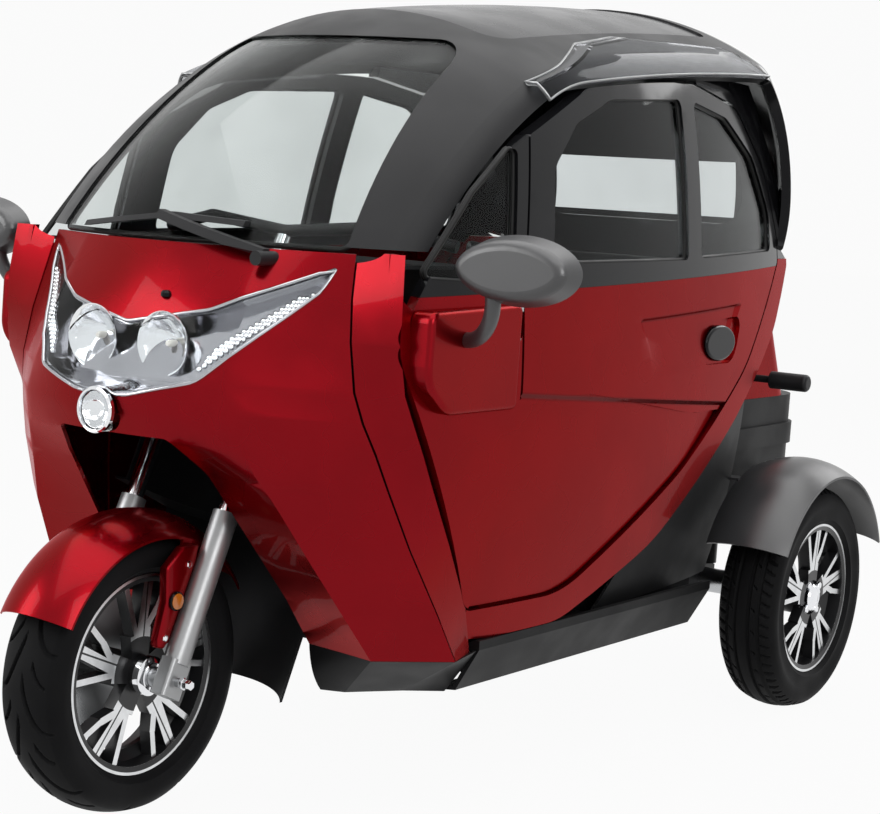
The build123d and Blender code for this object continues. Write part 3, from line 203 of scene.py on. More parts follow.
def tone_group():
    """Colour that drifts a little lighter and darker over a surface."""
    group, inside, outside, place = node_tree("surface_tone", ("Spread", "Scale"), ("Color",))
    group.interface.new_socket("Color", in_out="OUTPUT", socket_type="NodeSocketColor")
    noise = group.nodes.new("ShaderNodeTexNoise")
    noise.inputs["Detail"].default_value = 4.0
    low = group.nodes.new("ShaderNodeMath")
    low.operation = "SUBTRACT"
    low.inputs[0].default_value = 1.0
    high = group.nodes.new("ShaderNodeMath")
    high.operation = "ADD"
    high.inputs[0].default_value = 1.0
    swing = smooth_swing(group)
    shade = group.nodes.new("ShaderNodeHueSaturation")
    link = group.links.new
    link(place.outputs["Object"], noise.inputs["Vector"])
    link(inside.outputs["Scale"], noise.inputs["Scale"])
    link(inside.outputs["Spread"], low.inputs[1])
    link(inside.outputs["Spread"], high.inputs[1])
    link(noise.outputs["Fac"], swing.inputs["Value"])
    link(low.outputs[0], swing.inputs["To Min"])
    link(high.outputs[0], swing.inputs["To Max"])
    link(swing.outputs["Result"], shade.inputs["Value"])
    link(inside.outputs["Color"], shade.inputs["Color"])
    link(shade.outputs["Color"], outside.inputs["Color"])
    return group


def grain_group():
    """Fine surface grain: a height for a bump, and a roughness in broad patches."""
    group, inside, outside, place = node_tree("surface_grain",
                                              ("Scale", "Rough Low", "Rough High"))
    for name in ("Height", "Roughness"):
        group.interface.new_socket(name, in_out="OUTPUT", socket_type="NodeSocketFloat")
    noise = group.nodes.new("ShaderNodeTexNoise")
    noise.inputs["Detail"].default_value = 3.0
    spots = group.nodes.new("ShaderNodeTexNoise")
    spots.inputs["Scale"].default_value = 9.0
    swing = smooth_swing(group)
    link = group.links.new
    link(place.outputs["Object"], noise.inputs["Vector"])
    link(place.outputs["Object"], spots.inputs["Vector"])
    link(inside.outputs["Scale"], noise.inputs["Scale"])
    link(spots.outputs["Fac"], swing.inputs["Value"])
    link(inside.outputs["Rough Low"], swing.inputs["To Min"])
    link(inside.outputs["Rough High"], swing.inputs["To Max"])
    link(noise.outputs["Fac"], outside.inputs["Height"])
    link(swing.outputs["Result"], outside.inputs["Roughness"])
    return group


surface_tone = tone_group()
surface_grain = grain_group()


def grained(finish, shader, grain, rough, strength, depth):
    """Give a finish fine grain, as roughness between two values and as a bump."""
    nodes = finish.node_tree.nodes
    link = finish.node_tree.links.new
    texture = placed(nodes, surface_grain,
                     {"Scale": grain, "Rough Low": rough[0], "Rough High": rough[1]})
    bump = nodes.new("ShaderNodeBump")
    bump.inputs["Strength"].default_value = strength
    bump.inputs["Distance"].default_value = depth
    link(texture.outputs["Roughness"], shader.inputs["Roughness"])
    link(texture.outputs["Height"], bump.inputs["Height"])
    link(bump.outputs["Normal"], shader.inputs["Normal"])


def coated_finish(name, colour, spread, rough, grain, depth, metal=0.0, coat=0.0, shine=0.5,
                  glint=(1.0, 1.0, 1.0)):
    """A finish with drifting tone, fine grain and, where coat is set, a clear coat."""
    finish = bpy.data.materials.new(name)
    finish.use_nodes = True
    nodes = finish.node_tree.nodes
    shader = nodes["Principled BSDF"]
    for label, value in (("Metallic", metal), ("Coat Weight", coat), ("Coat Roughness", 0.03),
                         ("Specular IOR Level", shine), ("Specular Tint", (*glint, 1.0))):
        shader.inputs[label].default_value = value
    tone = placed(nodes, surface_tone, {"Color": (*colour, 1.0), "Spread": spread, "Scale": 5.0})
    tone.name = "tone"
    finish.node_tree.links.new(tone.outputs["Color"], shader.inputs["Base Color"])
    grained(finish, shader, grain, rough, 0.6, depth)
    return finish


def dress(finish, *names):
    """Give CAD nodes a finish."""
    for name in names:
        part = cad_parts[name]
        if part.material_slots:
            for place in part.material_slots:
                place.material = finish
        else:
            part.data.materials.append(finish)


# ------------------------------------------------------------------ body panels
# The nose, its sides, the hoops, the doors, the tail and the front fender are moulded
# and sprayed in a dark candy red under a thin clear coat.
def smooth_skin(name, node, finish, body="body"):
    """A merged copy of a CAD skin, shaded smoothly up to its real creases."""
    skin = merged_copy(node, name, face_out, bpy.ops.mesh.customdata_custom_splitnormals_clear)
    bpy.ops.object.shade_smooth_by_angle(angle=0.45)
    coat(skin, finish)
    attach(skin, body)
    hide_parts(node)
    return skin


candy_red = coated_finish("candy_red", (0.21, 0.0012, 0.005), 0.06, (0.24, 0.32), 900.0,
                          0.000004, metal=0.85, coat=0.12, glint=(0.85, 0.10, 0.14))
dress(candy_red, "quarter_panel", "front_fender")
smooth_skin("nose_skin", "nose_panel", candy_red)
smooth_skin("side_skin", "front_side_panel", candy_red)
smooth_skin("hoop_skin", "side_hoop", candy_red)
smooth_skin("tail_skin", "rear_panel", candy_red)

# The door's pressed lines in its side view: a point (y, z), the way across the line (y, z)
# and the width of the bend.
SWAGE = ((0.0, 0.712), (0.0693, 1.0), 0.004)
BROW = ((0.0, 0.867), (0.045, -1.0), 0.005)
RECESS_FOOT = ((0.0, 0.755), (-0.045, 1.0), 0.107)
RECESS_AHEAD = ((-0.04, 0.865), (0.844, 0.537), 0.014)
RECESS_BEHIND = ((0.445, 0.885), (-0.720, 0.694), 0.012)
RECESS = (BROW, RECESS_FOOT, RECESS_AHEAD, RECESS_BEHIND)
SWAGE_DEPTH = 0.006
SWAGE_FADE = 0.110      # how far below the swage line its step runs out
RECESS_DEPTH = 0.007
# The deep red of the painted shade in the door's folds.
FOLD_SHADE_RED = (0.045, 0.0004, 0.001, 1.0)


def door_finish_with_painted_shade(name):
    """The candy red with painted shade: darker along the swage line and under the brow of the
    handle recess.
    """
    finish = candy_red.copy()
    finish.name = name
    tone = finish.node_tree.nodes["tone"]
    calc = sums(finish)
    _, along, height = split(finish, "Object")

    def across(line):
        (y, z), (way_y, way_z), _ = line
        ahead = calc("MULTIPLY", calc("SUBTRACT", along, y), way_y)
        return calc("ADD", ahead, calc("MULTIPLY", calc("SUBTRACT", height, z), way_z))

    def near(distance, half):
        return calc("SUBTRACT", 1.0, ramp(calc, calc("ABSOLUTE", distance), half / 2, 2 * half))

    # Painted shade: the colour darkens along the swage crease and under the recess's brow, where
    # the folds fall into shade.
    crease = calc("MULTIPLY", near(across(SWAGE), SWAGE[2]), 0.75)
    under = near(calc("SUBTRACT", across(BROW), 0.003), 0.003)
    sides = calc("MULTIPLY", ramp(calc, across(RECESS_AHEAD), 0.0, RECESS_AHEAD[2]),
                 ramp(calc, across(RECESS_BEHIND), 0.0, RECESS_BEHIND[2]))
    brow = calc("MULTIPLY", calc("MULTIPLY", under, sides), 0.8)
    shade = between(finish, tone.inputs["Color"].default_value, FOLD_SHADE_RED,
                    calc("MAXIMUM", crease, brow))
    finish.node_tree.links.new(shade, tone.inputs["Color"])
    return finish


def pressed(y, z):
    """How far the door's outside is pressed in at a place in its side view."""
    def past(line):
        (y0, z0), (way_y, way_z), _ = line
        return (y - y0) * way_y + (z - z0) * way_z

    bend = SWAGE[2]
    below = -past(SWAGE)
    step = max(0.0, min((below + bend) / (2 * bend), (SWAGE_FADE - below) / (SWAGE_FADE - bend)))
    hollow = 1.0
    for line in RECESS:
        hollow = hollow * max(0.0, min(1.0, past(line) / line[2]))
    return SWAGE_DEPTH * min(1.0, step) + RECESS_DEPTH * hollow


def cut(line, shift):
    """A step for edit that cuts the mesh along a pressed line moved over by a shift."""
    (y, z), (way_y, way_z), _ = line
    return lambda: bpy.ops.mesh.bisect(plane_co=(0, y + shift * way_y, z + shift * way_z),
                                       plane_no=(0, way_y, way_z))


# The doors' candy red, with painted shade in its folds.
door_red_painted_shade = door_finish_with_painted_shade("door_red_painted_shade")
CUTS = ([cut(SWAGE, shift) for shift in (-SWAGE[2], SWAGE[2], -SWAGE_FADE)]
        + [cut(BROW, 0), cut(BROW, BROW[2]), cut(RECESS_FOOT, 0), cut(RECESS_AHEAD, 0),
           cut(RECESS_AHEAD, RECESS_AHEAD[2]), cut(RECESS_BEHIND, 0),
           cut(RECESS_BEHIND, RECESS_BEHIND[2])])
for side, name in SIDES:
    skin = smooth_skin(f"door_skin_{name}", f"door_panel_{name}", door_red_painted_shade,
                       f"{name}_door")
    edit(*CUTS)
    outer = set()
    for face in skin.data.polygons:
        if face.normal.x * side > 0.5:
            outer.update(face.vertices)
    for i in outer:
        point = skin.data.vertices[i].co
        point.x -= side * pressed(point.y, point.z)
    bpy.ops.object.shade_smooth_by_angle(angle=0.3)


# ------------------------------------------------------------------ roof and black trim
# The roof shell is grained black plastic and the sills are duller. The door frames, pillars
# and handles are polished black. The mirrors and rear fenders are a shinier dark grey, whose
# lighter colour is partly their own and partly painted highlight.
grained_black = coated_finish("grained_black", (0.014, 0.014, 0.015), 0.12, (0.38, 0.48),
                              1400.0, 0.00012, shine=0.3, glint=(0.5, 0.5, 0.5))
dress(grained_black, "roof_shell", "wiper", "rear_signal", "plate_holder")
dull_black = coated_finish("dull_black", (0.009, 0.009, 0.0095), 0.15, (0.45, 0.55), 1100.0,
                           0.0001, shine=0.2, glint=(0.35, 0.35, 0.35))
dress(dull_black, "sill", "rear_body", "lower_guard")
# A dark grey lighter than the black trim: partly the parts' own colour, partly painted highlight.
mirror_grey = coated_finish("mirror_grey", (0.035, 0.035, 0.037), 0.12, (0.3, 0.4), 1300.0,
                            0.0001, shine=0.8)
dress(mirror_grey, "mirror", "rear_fender")
gloss_black = coated_finish("gloss_black", (0.006, 0.006, 0.007), 0.15, (0.08, 0.14), 700.0,
                            0.00001, coat=0.05, shine=0.3, glint=(0.35, 0.35, 0.36))
dress(gloss_black, "door_frame_left", "door_frame_right", "quarter_frame", "side_frame",
      "rear_shell", "door_handle_left", "door_handle_right")
satin_black = coated_finish("satin_black", (0.020, 0.020, 0.022), 0.15, (0.22, 0.30), 1200.0,
                            0.00004, coat=0.1, shine=0.22)
dress(satin_black, "roof_panel")
inner_black = coated_finish("inner_black", (0.012, 0.012, 0.013), 0.25, (0.55, 0.7), 600.0,
                            0.0002, shine=0.2, glint=(0.4, 0.4, 0.4))
dress(inner_black, "dashboard", "inner_guard", "floor_pan", "seat_base", "battery_pack")


# ------------------------------------------------------------------ glass
# The windscreen and the side panes are lightly tinted. The rear screen has a wide black
# border printed on it, and the rain visors are smoked acrylic.
def pane_finish(name, colour, rough=0.0):
    """Clear or tinted glass with faint smears."""
    finish = bpy.data.materials.new(name)
    finish.use_nodes = True
    nodes = finish.node_tree.nodes
    link = finish.node_tree.links.new
    shader = nodes["Principled BSDF"]
    shader.inputs["Transmission Weight"].default_value = 1.0
    shader.inputs["IOR"].default_value = 1.13
    tone = placed(nodes, surface_tone, {"Color": (*colour, 1.0), "Spread": 0.04, "Scale": 4.0})
    tone.name = "tone"
    smear = placed(nodes, surface_grain,
                   {"Scale": 20.0, "Rough Low": rough, "Rough High": rough + 0.01})
    link(tone.outputs["Color"], shader.inputs["Base Color"])
    link(smear.outputs["Roughness"], shader.inputs["Roughness"])
    return finish


def print_border(finish, half, low, high):
    """Print a pane black outside a clear middle of a half width, between two heights."""
    nodes = finish.node_tree.nodes
    link = finish.node_tree.links.new
    tone = nodes["tone"]
    calc = sums(finish)
    x, _, z = split(finish, "Object")
    level = calc("MULTIPLY", calc("GREATER_THAN", z, low), calc("LESS_THAN", z, high))
    clear = calc("MULTIPLY", calc("LESS_THAN", calc("ABSOLUTE", x), half), level)
    shade = between(finish, (0.008, 0.008, 0.009, 1.0), tone.inputs["Color"].default_value, clear)
    link(shade, tone.inputs["Color"])
    link(clear, nodes["Principled BSDF"].inputs["Transmission Weight"])


screen_glass = pane_finish("screen_glass", (0.80, 0.83, 0.82))
dress(screen_glass, "windscreen")
tinted_glass = pane_finish("tinted_glass", (0.74, 0.77, 0.77))
dress(tinted_glass, "door_glass_left", "door_glass_right", "quarter_glass")
rear_glass = pane_finish("rear_glass", (0.84, 0.86, 0.86))
print_border(rear_glass, 0.235, 1.055, 1.178)
dress(rear_glass, "rear_screen")
smoked_acrylic = pane_finish("smoked_acrylic", (0.50, 0.51, 0.53))
dress(smoked_acrylic, "rain_visor")


# ------------------------------------------------------------------ bright metal
# Polished trim, cast fork legs, plain steel shafts and painted steel under the body.
chrome = coated_finish("chrome", (0.80, 0.81, 0.83), 0.04, (0.05, 0.1), 300.0, 0.000005,
                       metal=1.0)
dress(chrome, "fork")
smoked_chrome = coated_finish("smoked_chrome", (0.42, 0.42, 0.44), 0.08, (0.08, 0.14), 90.0,
                              0.0004, metal=1.0)
dress(smoked_chrome, "headlamp_housing")
cast_silver = coated_finish("cast_silver", (0.36, 0.365, 0.37), 0.08, (0.3, 0.4), 900.0,
                            0.00005, metal=0.7)
dress(cast_silver, "fork_sliders", "brake_caliper")
steel = coated_finish("steel", (0.42, 0.43, 0.44), 0.12, (0.25, 0.38), 500.0, 0.00003,
                      metal=1.0)
dress(steel, "front_axle", "rear_axle", "brake_disc", "hinge_pins", "hinge_knuckles_left",
      "hinge_knuckles_right")
black_steel = coated_finish("black_steel", (0.015, 0.015, 0.016), 0.2, (0.35, 0.45), 700.0,
                            0.0001, shine=0.3, glint=(0.5, 0.5, 0.5))
dress(black_steel, "chassis_frame", "rear_suspension", "handlebar")


# ------------------------------------------------------------------ wheels
# Cast alloy wheels, painted black and then machined bright on their outer faces.
SPOKE_GROUPS = 5
FIRST_GROOVE = 0.197    # the turn of the first group's middle, as a share of a group
GROOVE_HALF = 0.0016
BRIGHT_LIP = 0.005      # the bright edge of the rim
DARK_WELL = 0.014       # from the rim's edge to the ends of the bright legs


def machined_finish(name, height, axle_y, hub, rim, faces):
    """Black cast alloy, bright on the legs of its spokes and on the lip of its rim.

    A groove runs between the two V-shaped pairs of legs in each group. The faces are
    given by the way they look along X and the X that they lie between.
    """
    finish = bpy.data.materials.new(name)
    finish.use_nodes = True
    nodes = finish.node_tree.nodes
    link = finish.node_tree.links.new
    shader = nodes["Principled BSDF"]
    calc = sums(finish)
    way, _, _ = split(finish, "Normal")
    x, y, z = split(finish, "Object")
    ahead = calc("SUBTRACT", y, axle_y)
    up = calc("SUBTRACT", z, height)
    out = calc("SQRT", calc("ADD", calc("MULTIPLY", ahead, ahead), calc("MULTIPLY", up, up)))
    facing = 0.0
    for side, low, high in faces:
        flat = calc("GREATER_THAN", calc("MULTIPLY", way, side), 0.9)
        within = calc("MULTIPLY", calc("GREATER_THAN", x, low), calc("LESS_THAN", x, high))
        facing = calc("MAXIMUM", calc("MULTIPLY", flat, within), facing)
    legs = calc("MULTIPLY", calc("GREATER_THAN", out, hub),
                calc("LESS_THAN", out, rim - DARK_WELL))
    turn = calc("SUBTRACT", calc("MULTIPLY", calc("ARCTAN2", up, ahead),
                                 SPOKE_GROUPS / (2 * math.pi)), FIRST_GROOVE)
    swing = calc("MULTIPLY", calc("WRAP", turn, 0.5, -0.5), 2 * math.pi / SPOKE_GROUPS)
    beside = calc("ABSOLUTE", calc("MULTIPLY", out, calc("SINE", swing)))
    legs = calc("MULTIPLY", legs, calc("GREATER_THAN", beside, GROOVE_HALF))
    edge = calc("GREATER_THAN", out, rim - BRIGHT_LIP)
    bright = calc("MULTIPLY", facing, calc("MAXIMUM", legs, edge))
    tone = placed(nodes, surface_tone, {"Spread": 0.06, "Scale": 60.0})
    link(between(finish, (0.010, 0.010, 0.011, 1.0), (0.72, 0.73, 0.74, 1.0), bright),
         tone.inputs["Color"])
    link(tone.outputs["Color"], shader.inputs["Base Color"])
    link(bright, shader.inputs["Metallic"])
    grained(finish, shader, 700.0, (0.28, 0.36), 0.4, 0.00004)
    return finish


# The height and Y of each axle, and the radii at the legs' inner ends and the rim's edge.
FRONT_WHEEL = (FRONT_TYRE_R, FRONT_AXLE_Y, 0.064, FRONT_RIM_R)
REAR_WHEEL = (REAR_TYRE_R, REAR_AXLE_Y, 0.060, REAR_RIM_R)
dress(machined_finish("front_wheel_faces", *FRONT_WHEEL,
                      ((1.0, 0.0385, 0.05), (-1.0, -0.05, -0.046))), "front_rim")
dress(machined_finish("left_wheel_faces", *REAR_WHEEL, ((1.0, 0.5365, 0.548),)),
      "rear_rim_left")
dress(machined_finish("right_wheel_faces", *REAR_WHEEL, ((-1.0, -0.548, -0.5365),)),
      "rear_rim_right")


# ------------------------------------------------------------------ tyres
# Black rubber on each wheel. The front one has long slanting grooves, the rear pair have
# grooves round the tread with short cuts across its shoulders.
CROWN_DROP = 0.012      # from the middle of the tread to its edge
CROWN_POINTS = 52
TREAD_DOWN = 0.0185     # how far below the tyre's radius its tread reaches
TREAD_OUT = 0.0155      # and how far past its shoulder
GROOVE_DEPTH = 0.0055
GROOVE_WALL = 0.0016
SWEEPS = 11             # long grooves on each half of the front tyre
SWEEP_REACH = 0.050     # how far out they run
BLOCKS = 64             # cuts round each shoulder of a rear tyre
RINGS = (0.0145, 0.035)
RING_HALF = 0.0026


def spun(name, section, closed, steps, distance):
    """A piece spun round the X axis from its section of (x, out) points."""
    count = len(section)
    mesh = bpy.data.meshes.new(name)
    mesh.from_pydata([(x, 0.0, out) for x, out in section],
                     [(i, (i + 1) % count) for i in range(count if closed else count - 1)], [])
    piece = added(name, mesh)
    edit(lambda: bpy.ops.mesh.spin(steps=steps, angle=2 * math.pi, center=(0, 0, 0),
                                   axis=(1, 0, 0)), merge(distance), face_out)
    return piece


def tyre_section(radius, width, rim_radius, rim_half):
    """The closed section of a tyre as (x, out) points, and the tread's half width."""
    shoulder = 0.31 * width
    foot = rim_radius - 0.009
    wall = [
        (rim_half - 0.0064, foot + 0.0004), (rim_half - 0.0044, rim_radius + 0.0004),
        (rim_half - 0.001, rim_radius + 0.001), (rim_half + 0.004, rim_radius + 0.008),
        (rim_half + 0.008, rim_radius + 0.010), (width / 2 - 0.006, radius - 0.058),
        (width / 2 - 0.002, radius - 0.046), (width / 2 - 0.0005, radius - 0.036),
        (width / 2 - 0.004, radius - 0.026), (shoulder + 0.016, radius - 0.018),
    ]
    reach = shoulder + 0.010
    bow = (reach * reach + CROWN_DROP * CROWN_DROP) / (2 * CROWN_DROP)
    crown = []
    for i in range(CROWN_POINTS + 1):
        x = reach - 2 * reach * i / CROWN_POINTS
        crown.append((x, radius - bow + math.sqrt(bow * bow - x * x)))
    lining = [(rim_half - 0.016, foot - 0.0009), (rim_half - 0.014, rim_radius + 0.010),
              (shoulder, radius - 0.024)]
    section = wall + crown + [(-x, out) for x, out in wall[::-1]]
    section = section + [(-x, out) for x, out in lining] + lining[::-1]
    return section, shoulder


def grooved_tyre(name, body, node, centre, size, groove, steps):
    """A tyre spun from its section, with its tread sunk to the depth that groove gives."""
    radius = size[0]
    section, shoulder = tyre_section(*size)
    tyre = spun(name, section, True, steps, 0.00005)
    for vertex in tyre.data.vertices:
        x, y, z = vertex.co
        rise = math.hypot(y, z)
        if rise < radius - TREAD_DOWN or abs(x) > shoulder + TREAD_OUT:
            continue
        along = radius * (math.atan2(y, z) % (2 * math.pi))
        deep = 1 - GROOVE_DEPTH * groove(x, along, 2 * math.pi * radius) / rise
        vertex.co = (x, y * deep, z * deep)
    tyre.location = centre
    settle(tyre)
    bpy.ops.object.shade_smooth_by_angle(angle=CREASE)
    tyre.data.materials.append(tyre_rubber)
    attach(tyre, body)
    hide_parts(node)


def notch(offset, half):
    """1 inside a groove's half width, falling to 0 over its wall."""
    return max(0.0, min(1.0, (half + GROOVE_WALL - abs(offset)) / GROOVE_WALL))


def slanting(x, along, girth):
    """Long curved grooves that sweep back from the middle of the tread."""
    pitch = girth / SWEEPS
    share = min(abs(x) / SWEEP_REACH, 1.0)
    sweep = 0.75 * pitch * (1 - (1 - share) ** 2)
    tilt = math.hypot(1.0, 1.5 * pitch * (1 - share) / SWEEP_REACH)
    start = along + sweep + (pitch / 2 if x < 0 else 0.0)
    first = (start % pitch - pitch / 2) / tilt
    second = ((start + 0.42 * pitch) % pitch - pitch / 2) / tilt
    depth = notch(first, 0.0024) * max(0.0, min(1.0, (abs(x) - 0.003) / 0.002))
    if 0.020 < abs(x) < 0.046:
        depth = max(depth, notch(second, 0.0018))
    return depth


def ringed(x, along, girth):
    """Grooves round the tread, and short cuts over the shoulders."""
    depth = max(notch(abs(x) - ring, RING_HALF) for ring in RINGS)
    pitch = girth / BLOCKS
    if abs(x) > 0.039:
        depth = max(depth, notch((along + 0.5 * x) % pitch - pitch / 2, RING_HALF))
    elif 0.020 < abs(x) < 0.029:
        depth = max(depth, notch((along + x) % (2 * pitch) - pitch, 0.0012))
    return depth


# The radius and width of each tyre, and the radius and half width of its rim.
FRONT_TYRE = (FRONT_TYRE_R, 0.130, FRONT_RIM_R, 0.048)
REAR_TYRE = (REAR_TYRE_R, 0.135, REAR_RIM_R, 0.056)
tyre_rubber = coated_finish("tyre_rubber", (0.006, 0.006, 0.0065), 0.2, (0.6, 0.72), 1500.0,
                            0.00015, shine=0.15, glint=(0.6, 0.6, 0.6))
grooved_tyre("front_tyre_tread", "front_wheel", "front_tyre",
             (0.0, FRONT_AXLE_Y, FRONT_TYRE_R), FRONT_TYRE, slanting, 560)
for side, name in SIDES:
    grooved_tyre(f"rear_tyre_tread_{name}", f"rear_wheel_{name}", f"rear_tyre_{name}",
                 (side * HALF_TRACK, REAR_AXLE_Y, REAR_TYRE_R), REAR_TYRE, ringed, 512)


# ------------------------------------------------------------------ hub trim
# Each rear wheel has a bright centre cap and four nuts, and the front hub has bright
# collars with a nut on each end of its axle.
def turned(name, body, profile, centre, way, finish, steps=40):
    """A round piece turned from (along, out) points, pointing left or right."""
    section = [(way * along, max(out, 0.00001)) for along, out in profile]
    piece = spun(name, section, False, steps, 0.00004)
    piece.location = centre
    settle(piece)
    bpy.ops.object.shade_smooth_by_angle(angle=CREASE)
    piece.data.materials.append(finish)
    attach(piece, body)
    return piece


HEX = 6
WHEEL_NUTS = 4
NUT_CIRCLE = 0.037
NUT_TURN = 39           # degrees from straight back to the first nut
CAP_X = 0.5385          # where each piece sits, from the middle of the car
WHEEL_NUT_X = 0.526
COLLAR_X = 0.0585
AXLE_NUT_X = 0.1365
CAP = ((-0.004, 0.0), (-0.004, 0.030), (0.004, 0.030), (0.008, 0.027), (0.009, 0.022),
       (0.007, 0.020), (0.009, 0.014), (0.010, 0.0))
NUT = ((-0.004, 0.0), (-0.004, 0.011), (0.002, 0.011), (0.003, 0.0085), (0.016, 0.0085),
       (0.018, 0.007), (0.018, 0.0))
COLLAR = ((-0.006, 0.018), (-0.006, 0.034), (0.006, 0.034), (0.008, 0.031), (0.010, 0.024),
          (0.012, 0.023), (0.012, 0.018), (-0.006, 0.018))
for side, name in SIDES:
    turned(f"centre_cap_{name}", f"rear_wheel_{name}", CAP,
           (side * CAP_X, REAR_AXLE_Y, REAR_TYRE_R), side, chrome)
    for i in range(WHEEL_NUTS):
        angle = math.radians(NUT_TURN + 360 / WHEEL_NUTS * i)
        spot = (side * WHEEL_NUT_X, REAR_AXLE_Y + NUT_CIRCLE * math.cos(angle),
                REAR_TYRE_R + NUT_CIRCLE * math.sin(angle))
        turned(f"wheel_nut_{name}_{i + 1}", f"rear_wheel_{name}", NUT, spot,
               side, chrome, HEX)
for side, name in SIDES:
    turned(f"hub_collar_{name}", "front_wheel", COLLAR,
           (side * COLLAR_X, FRONT_AXLE_Y, FRONT_TYRE_R), side, chrome)
    turned(f"axle_nut_{name}", "steering", NUT,
           (side * AXLE_NUT_X, FRONT_AXLE_Y, FRONT_TYRE_R), side, chrome, HEX)


# ------------------------------------------------------------------ fork shields
# A moulded shield hangs from each side of the fender, ahead of the fork leg. It is bolted
# to the fender's stay, and an amber reflector in a black ring sits on it.
RAKE = math.radians(25)
STEERING_FOOT = Vector((0, -0.833, 0.2295))
SHIELD_IN = 0.0805      # from the middle of the car to the inner face of the shield
SHIELD_THICK = 0.020
SHIELD_OUT = SHIELD_IN + SHIELD_THICK


def beside_fork(x, ahead, up):
    """A point given by its distance ahead of the steering axis and its height up it."""
    return STEERING_FOOT + Vector((x, up * math.sin(RAKE) - ahead * math.cos(RAKE),
                                   up * math.cos(RAKE) + ahead * math.sin(RAKE)))


# The shield's outline and its places are (ahead, up) points.
SHIELD = ((0.122, 0.168), (0.100, 0.214), (0.066, 0.232), (0.059, 0.205), (0.059, 0.060),
          (0.065, 0.044), (0.079, 0.042), (0.086, 0.054), (0.096, 0.118))
REFLECTOR_AT = (0.0775, 0.126)
BOLTS_AT = ((0.074, 0.062), (0.076, 0.192))
RING = ((-0.001, 0.0), (-0.001, 0.0165), (0.004, 0.0165), (0.006, 0.0150), (0.0055, 0.0140),
        (0.0055, 0.0))
DISH = ((0.0045, 0.0), (0.0045, 0.0140), (0.0065, 0.0134), (0.0078, 0.009), (0.0082, 0.0))
BOLT = ((-0.001, 0.0), (-0.001, 0.0065), (0.0025, 0.0065), (0.0042, 0.0050), (0.0046, 0.0))
amber = coated_finish("amber", (0.62, 0.17, 0.01), 0.1, (0.15, 0.25), 260.0, 0.0006,
                      coat=0.6)


def rounded(piece, name, width, segments):
    """Round a piece's edges."""
    bevel = piece.modifiers.new(name, "BEVEL")
    bevel.width = width
    bevel.segments = segments
    bpy.ops.object.modifier_apply(modifier=name)


for side, name in SIDES:
    mesh = bpy.data.meshes.new(f"fork_shield_{name}")
    mesh.from_pydata([beside_fork(side * SHIELD_IN, ahead, up) for ahead, up in SHIELD], [],
                     [list(range(len(SHIELD)))])
    shield = added(f"fork_shield_{name}", mesh)
    thick = {"value": (side * SHIELD_THICK, 0, 0)}
    edit(lambda: bpy.ops.mesh.extrude_region_move(TRANSFORM_OT_translate=thick), face_out)
    rounded(shield, "rounded", 0.004, 3)
    bpy.ops.object.shade_smooth_by_angle(angle=CREASE)
    shield.data.materials.append(candy_red)
    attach(shield, "steering")
    seat = beside_fork(side * SHIELD_OUT, *REFLECTOR_AT)
    turned(f"reflector_ring_{name}", "steering", RING, seat, side, gloss_black)
    turned(f"reflector_{name}", "steering", DISH, seat, side, amber)
    for i, place in enumerate(BOLTS_AT):
        turned(f"shield_bolt_{name}_{i + 1}", "steering", BOLT,
               beside_fork(side * SHIELD_OUT, *place), side, chrome, HEX)


# ------------------------------------------------------------------ rubber and bright seals
# Rubber beads run round the fixed and door panes, a bright rim round the headlamps' lens
# and bright strips round the rain visors.
SMOOTH = 0.8            # faces whose normals' product is over this belong together
SMALL_PATCH = 0.08      # of a mesh's whole area
BEAD_STEP = 0.006       # between the points of a bead


def patches(mesh, beside, ahead):
    """The sets of joined smooth faces that hold a face that looks the given way."""
    faces = mesh.polygons
    whole = sum(face.area for face in faces)
    seen = set()
    for face in sorted(faces, key=lambda f: -f.area):
        if face.index in seen or not ahead(face.normal):
            continue
        patch = {face.index}
        front = [face.index]
        seen.add(face.index)
        while front:
            one = faces[front.pop()]
            for key in one.edge_keys:
                for other in beside[key]:
                    if other in seen or faces[other].normal.dot(one.normal) < SMOOTH:
                        continue
                    seen.add(other)
                    patch.add(other)
                    front.append(other)
        if sum(faces[i].area for i in patch) >= SMALL_PATCH * whole:
            yield patch


def outline_loops(mesh, ahead):
    """The closed outlines, as points, of the smooth faces that look the given way."""
    beside = {}
    for face in mesh.polygons:
        for key in face.edge_keys:
            beside.setdefault(key, []).append(face.index)
    loops = []
    for patch in patches(mesh, beside, ahead):
        after = {}
        for i in patch:
            ring = list(mesh.polygons[i].vertices)
            for one, two in zip(ring, ring[1:] + ring[:1]):
                if any(other not in patch for other in beside[tuple(sorted((one, two)))]):
                    after[one] = two
        while after:
            start, here = after.popitem()
            line = [start, here]
            while here in after:
                here = after.pop(here)
                line.append(here)
            if len(line) > 8 and line[0] == line[-1]:
                loops.append([mesh.vertices[i].co.copy() for i in line[:-1]])
    return loops


def edge_bead(name, node, thick, finish, body, ahead):
    """A bead along the outline of the faces of a thin CAD piece that look ahead."""
    pane = merged_copy(node, f"{name}_pane")
    curve = bpy.data.curves.new(name, "CURVE")
    curve.dimensions = "3D"
    curve.bevel_depth = thick
    curve.bevel_resolution = 2
    for loop in outline_loops(pane.data, ahead):
        kept = [loop[0]]
        for point in loop[1:]:
            if (point - kept[-1]).length > BEAD_STEP:
                kept.append(point)
        spline = curve.splines.new("POLY")
        spline.points.add(len(kept) - 1)
        for point, place in zip(spline.points, kept):
            point.co = (*place, 1.0)
        spline.use_cyclic_u = True
    bpy.data.objects.remove(pane)
    bead = added(name, curve)
    bpy.ops.object.convert(target="MESH")
    edit(face_out)
    settle(bead)
    bpy.ops.object.shade_smooth()
    coat(bead, finish)
    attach(bead, body)


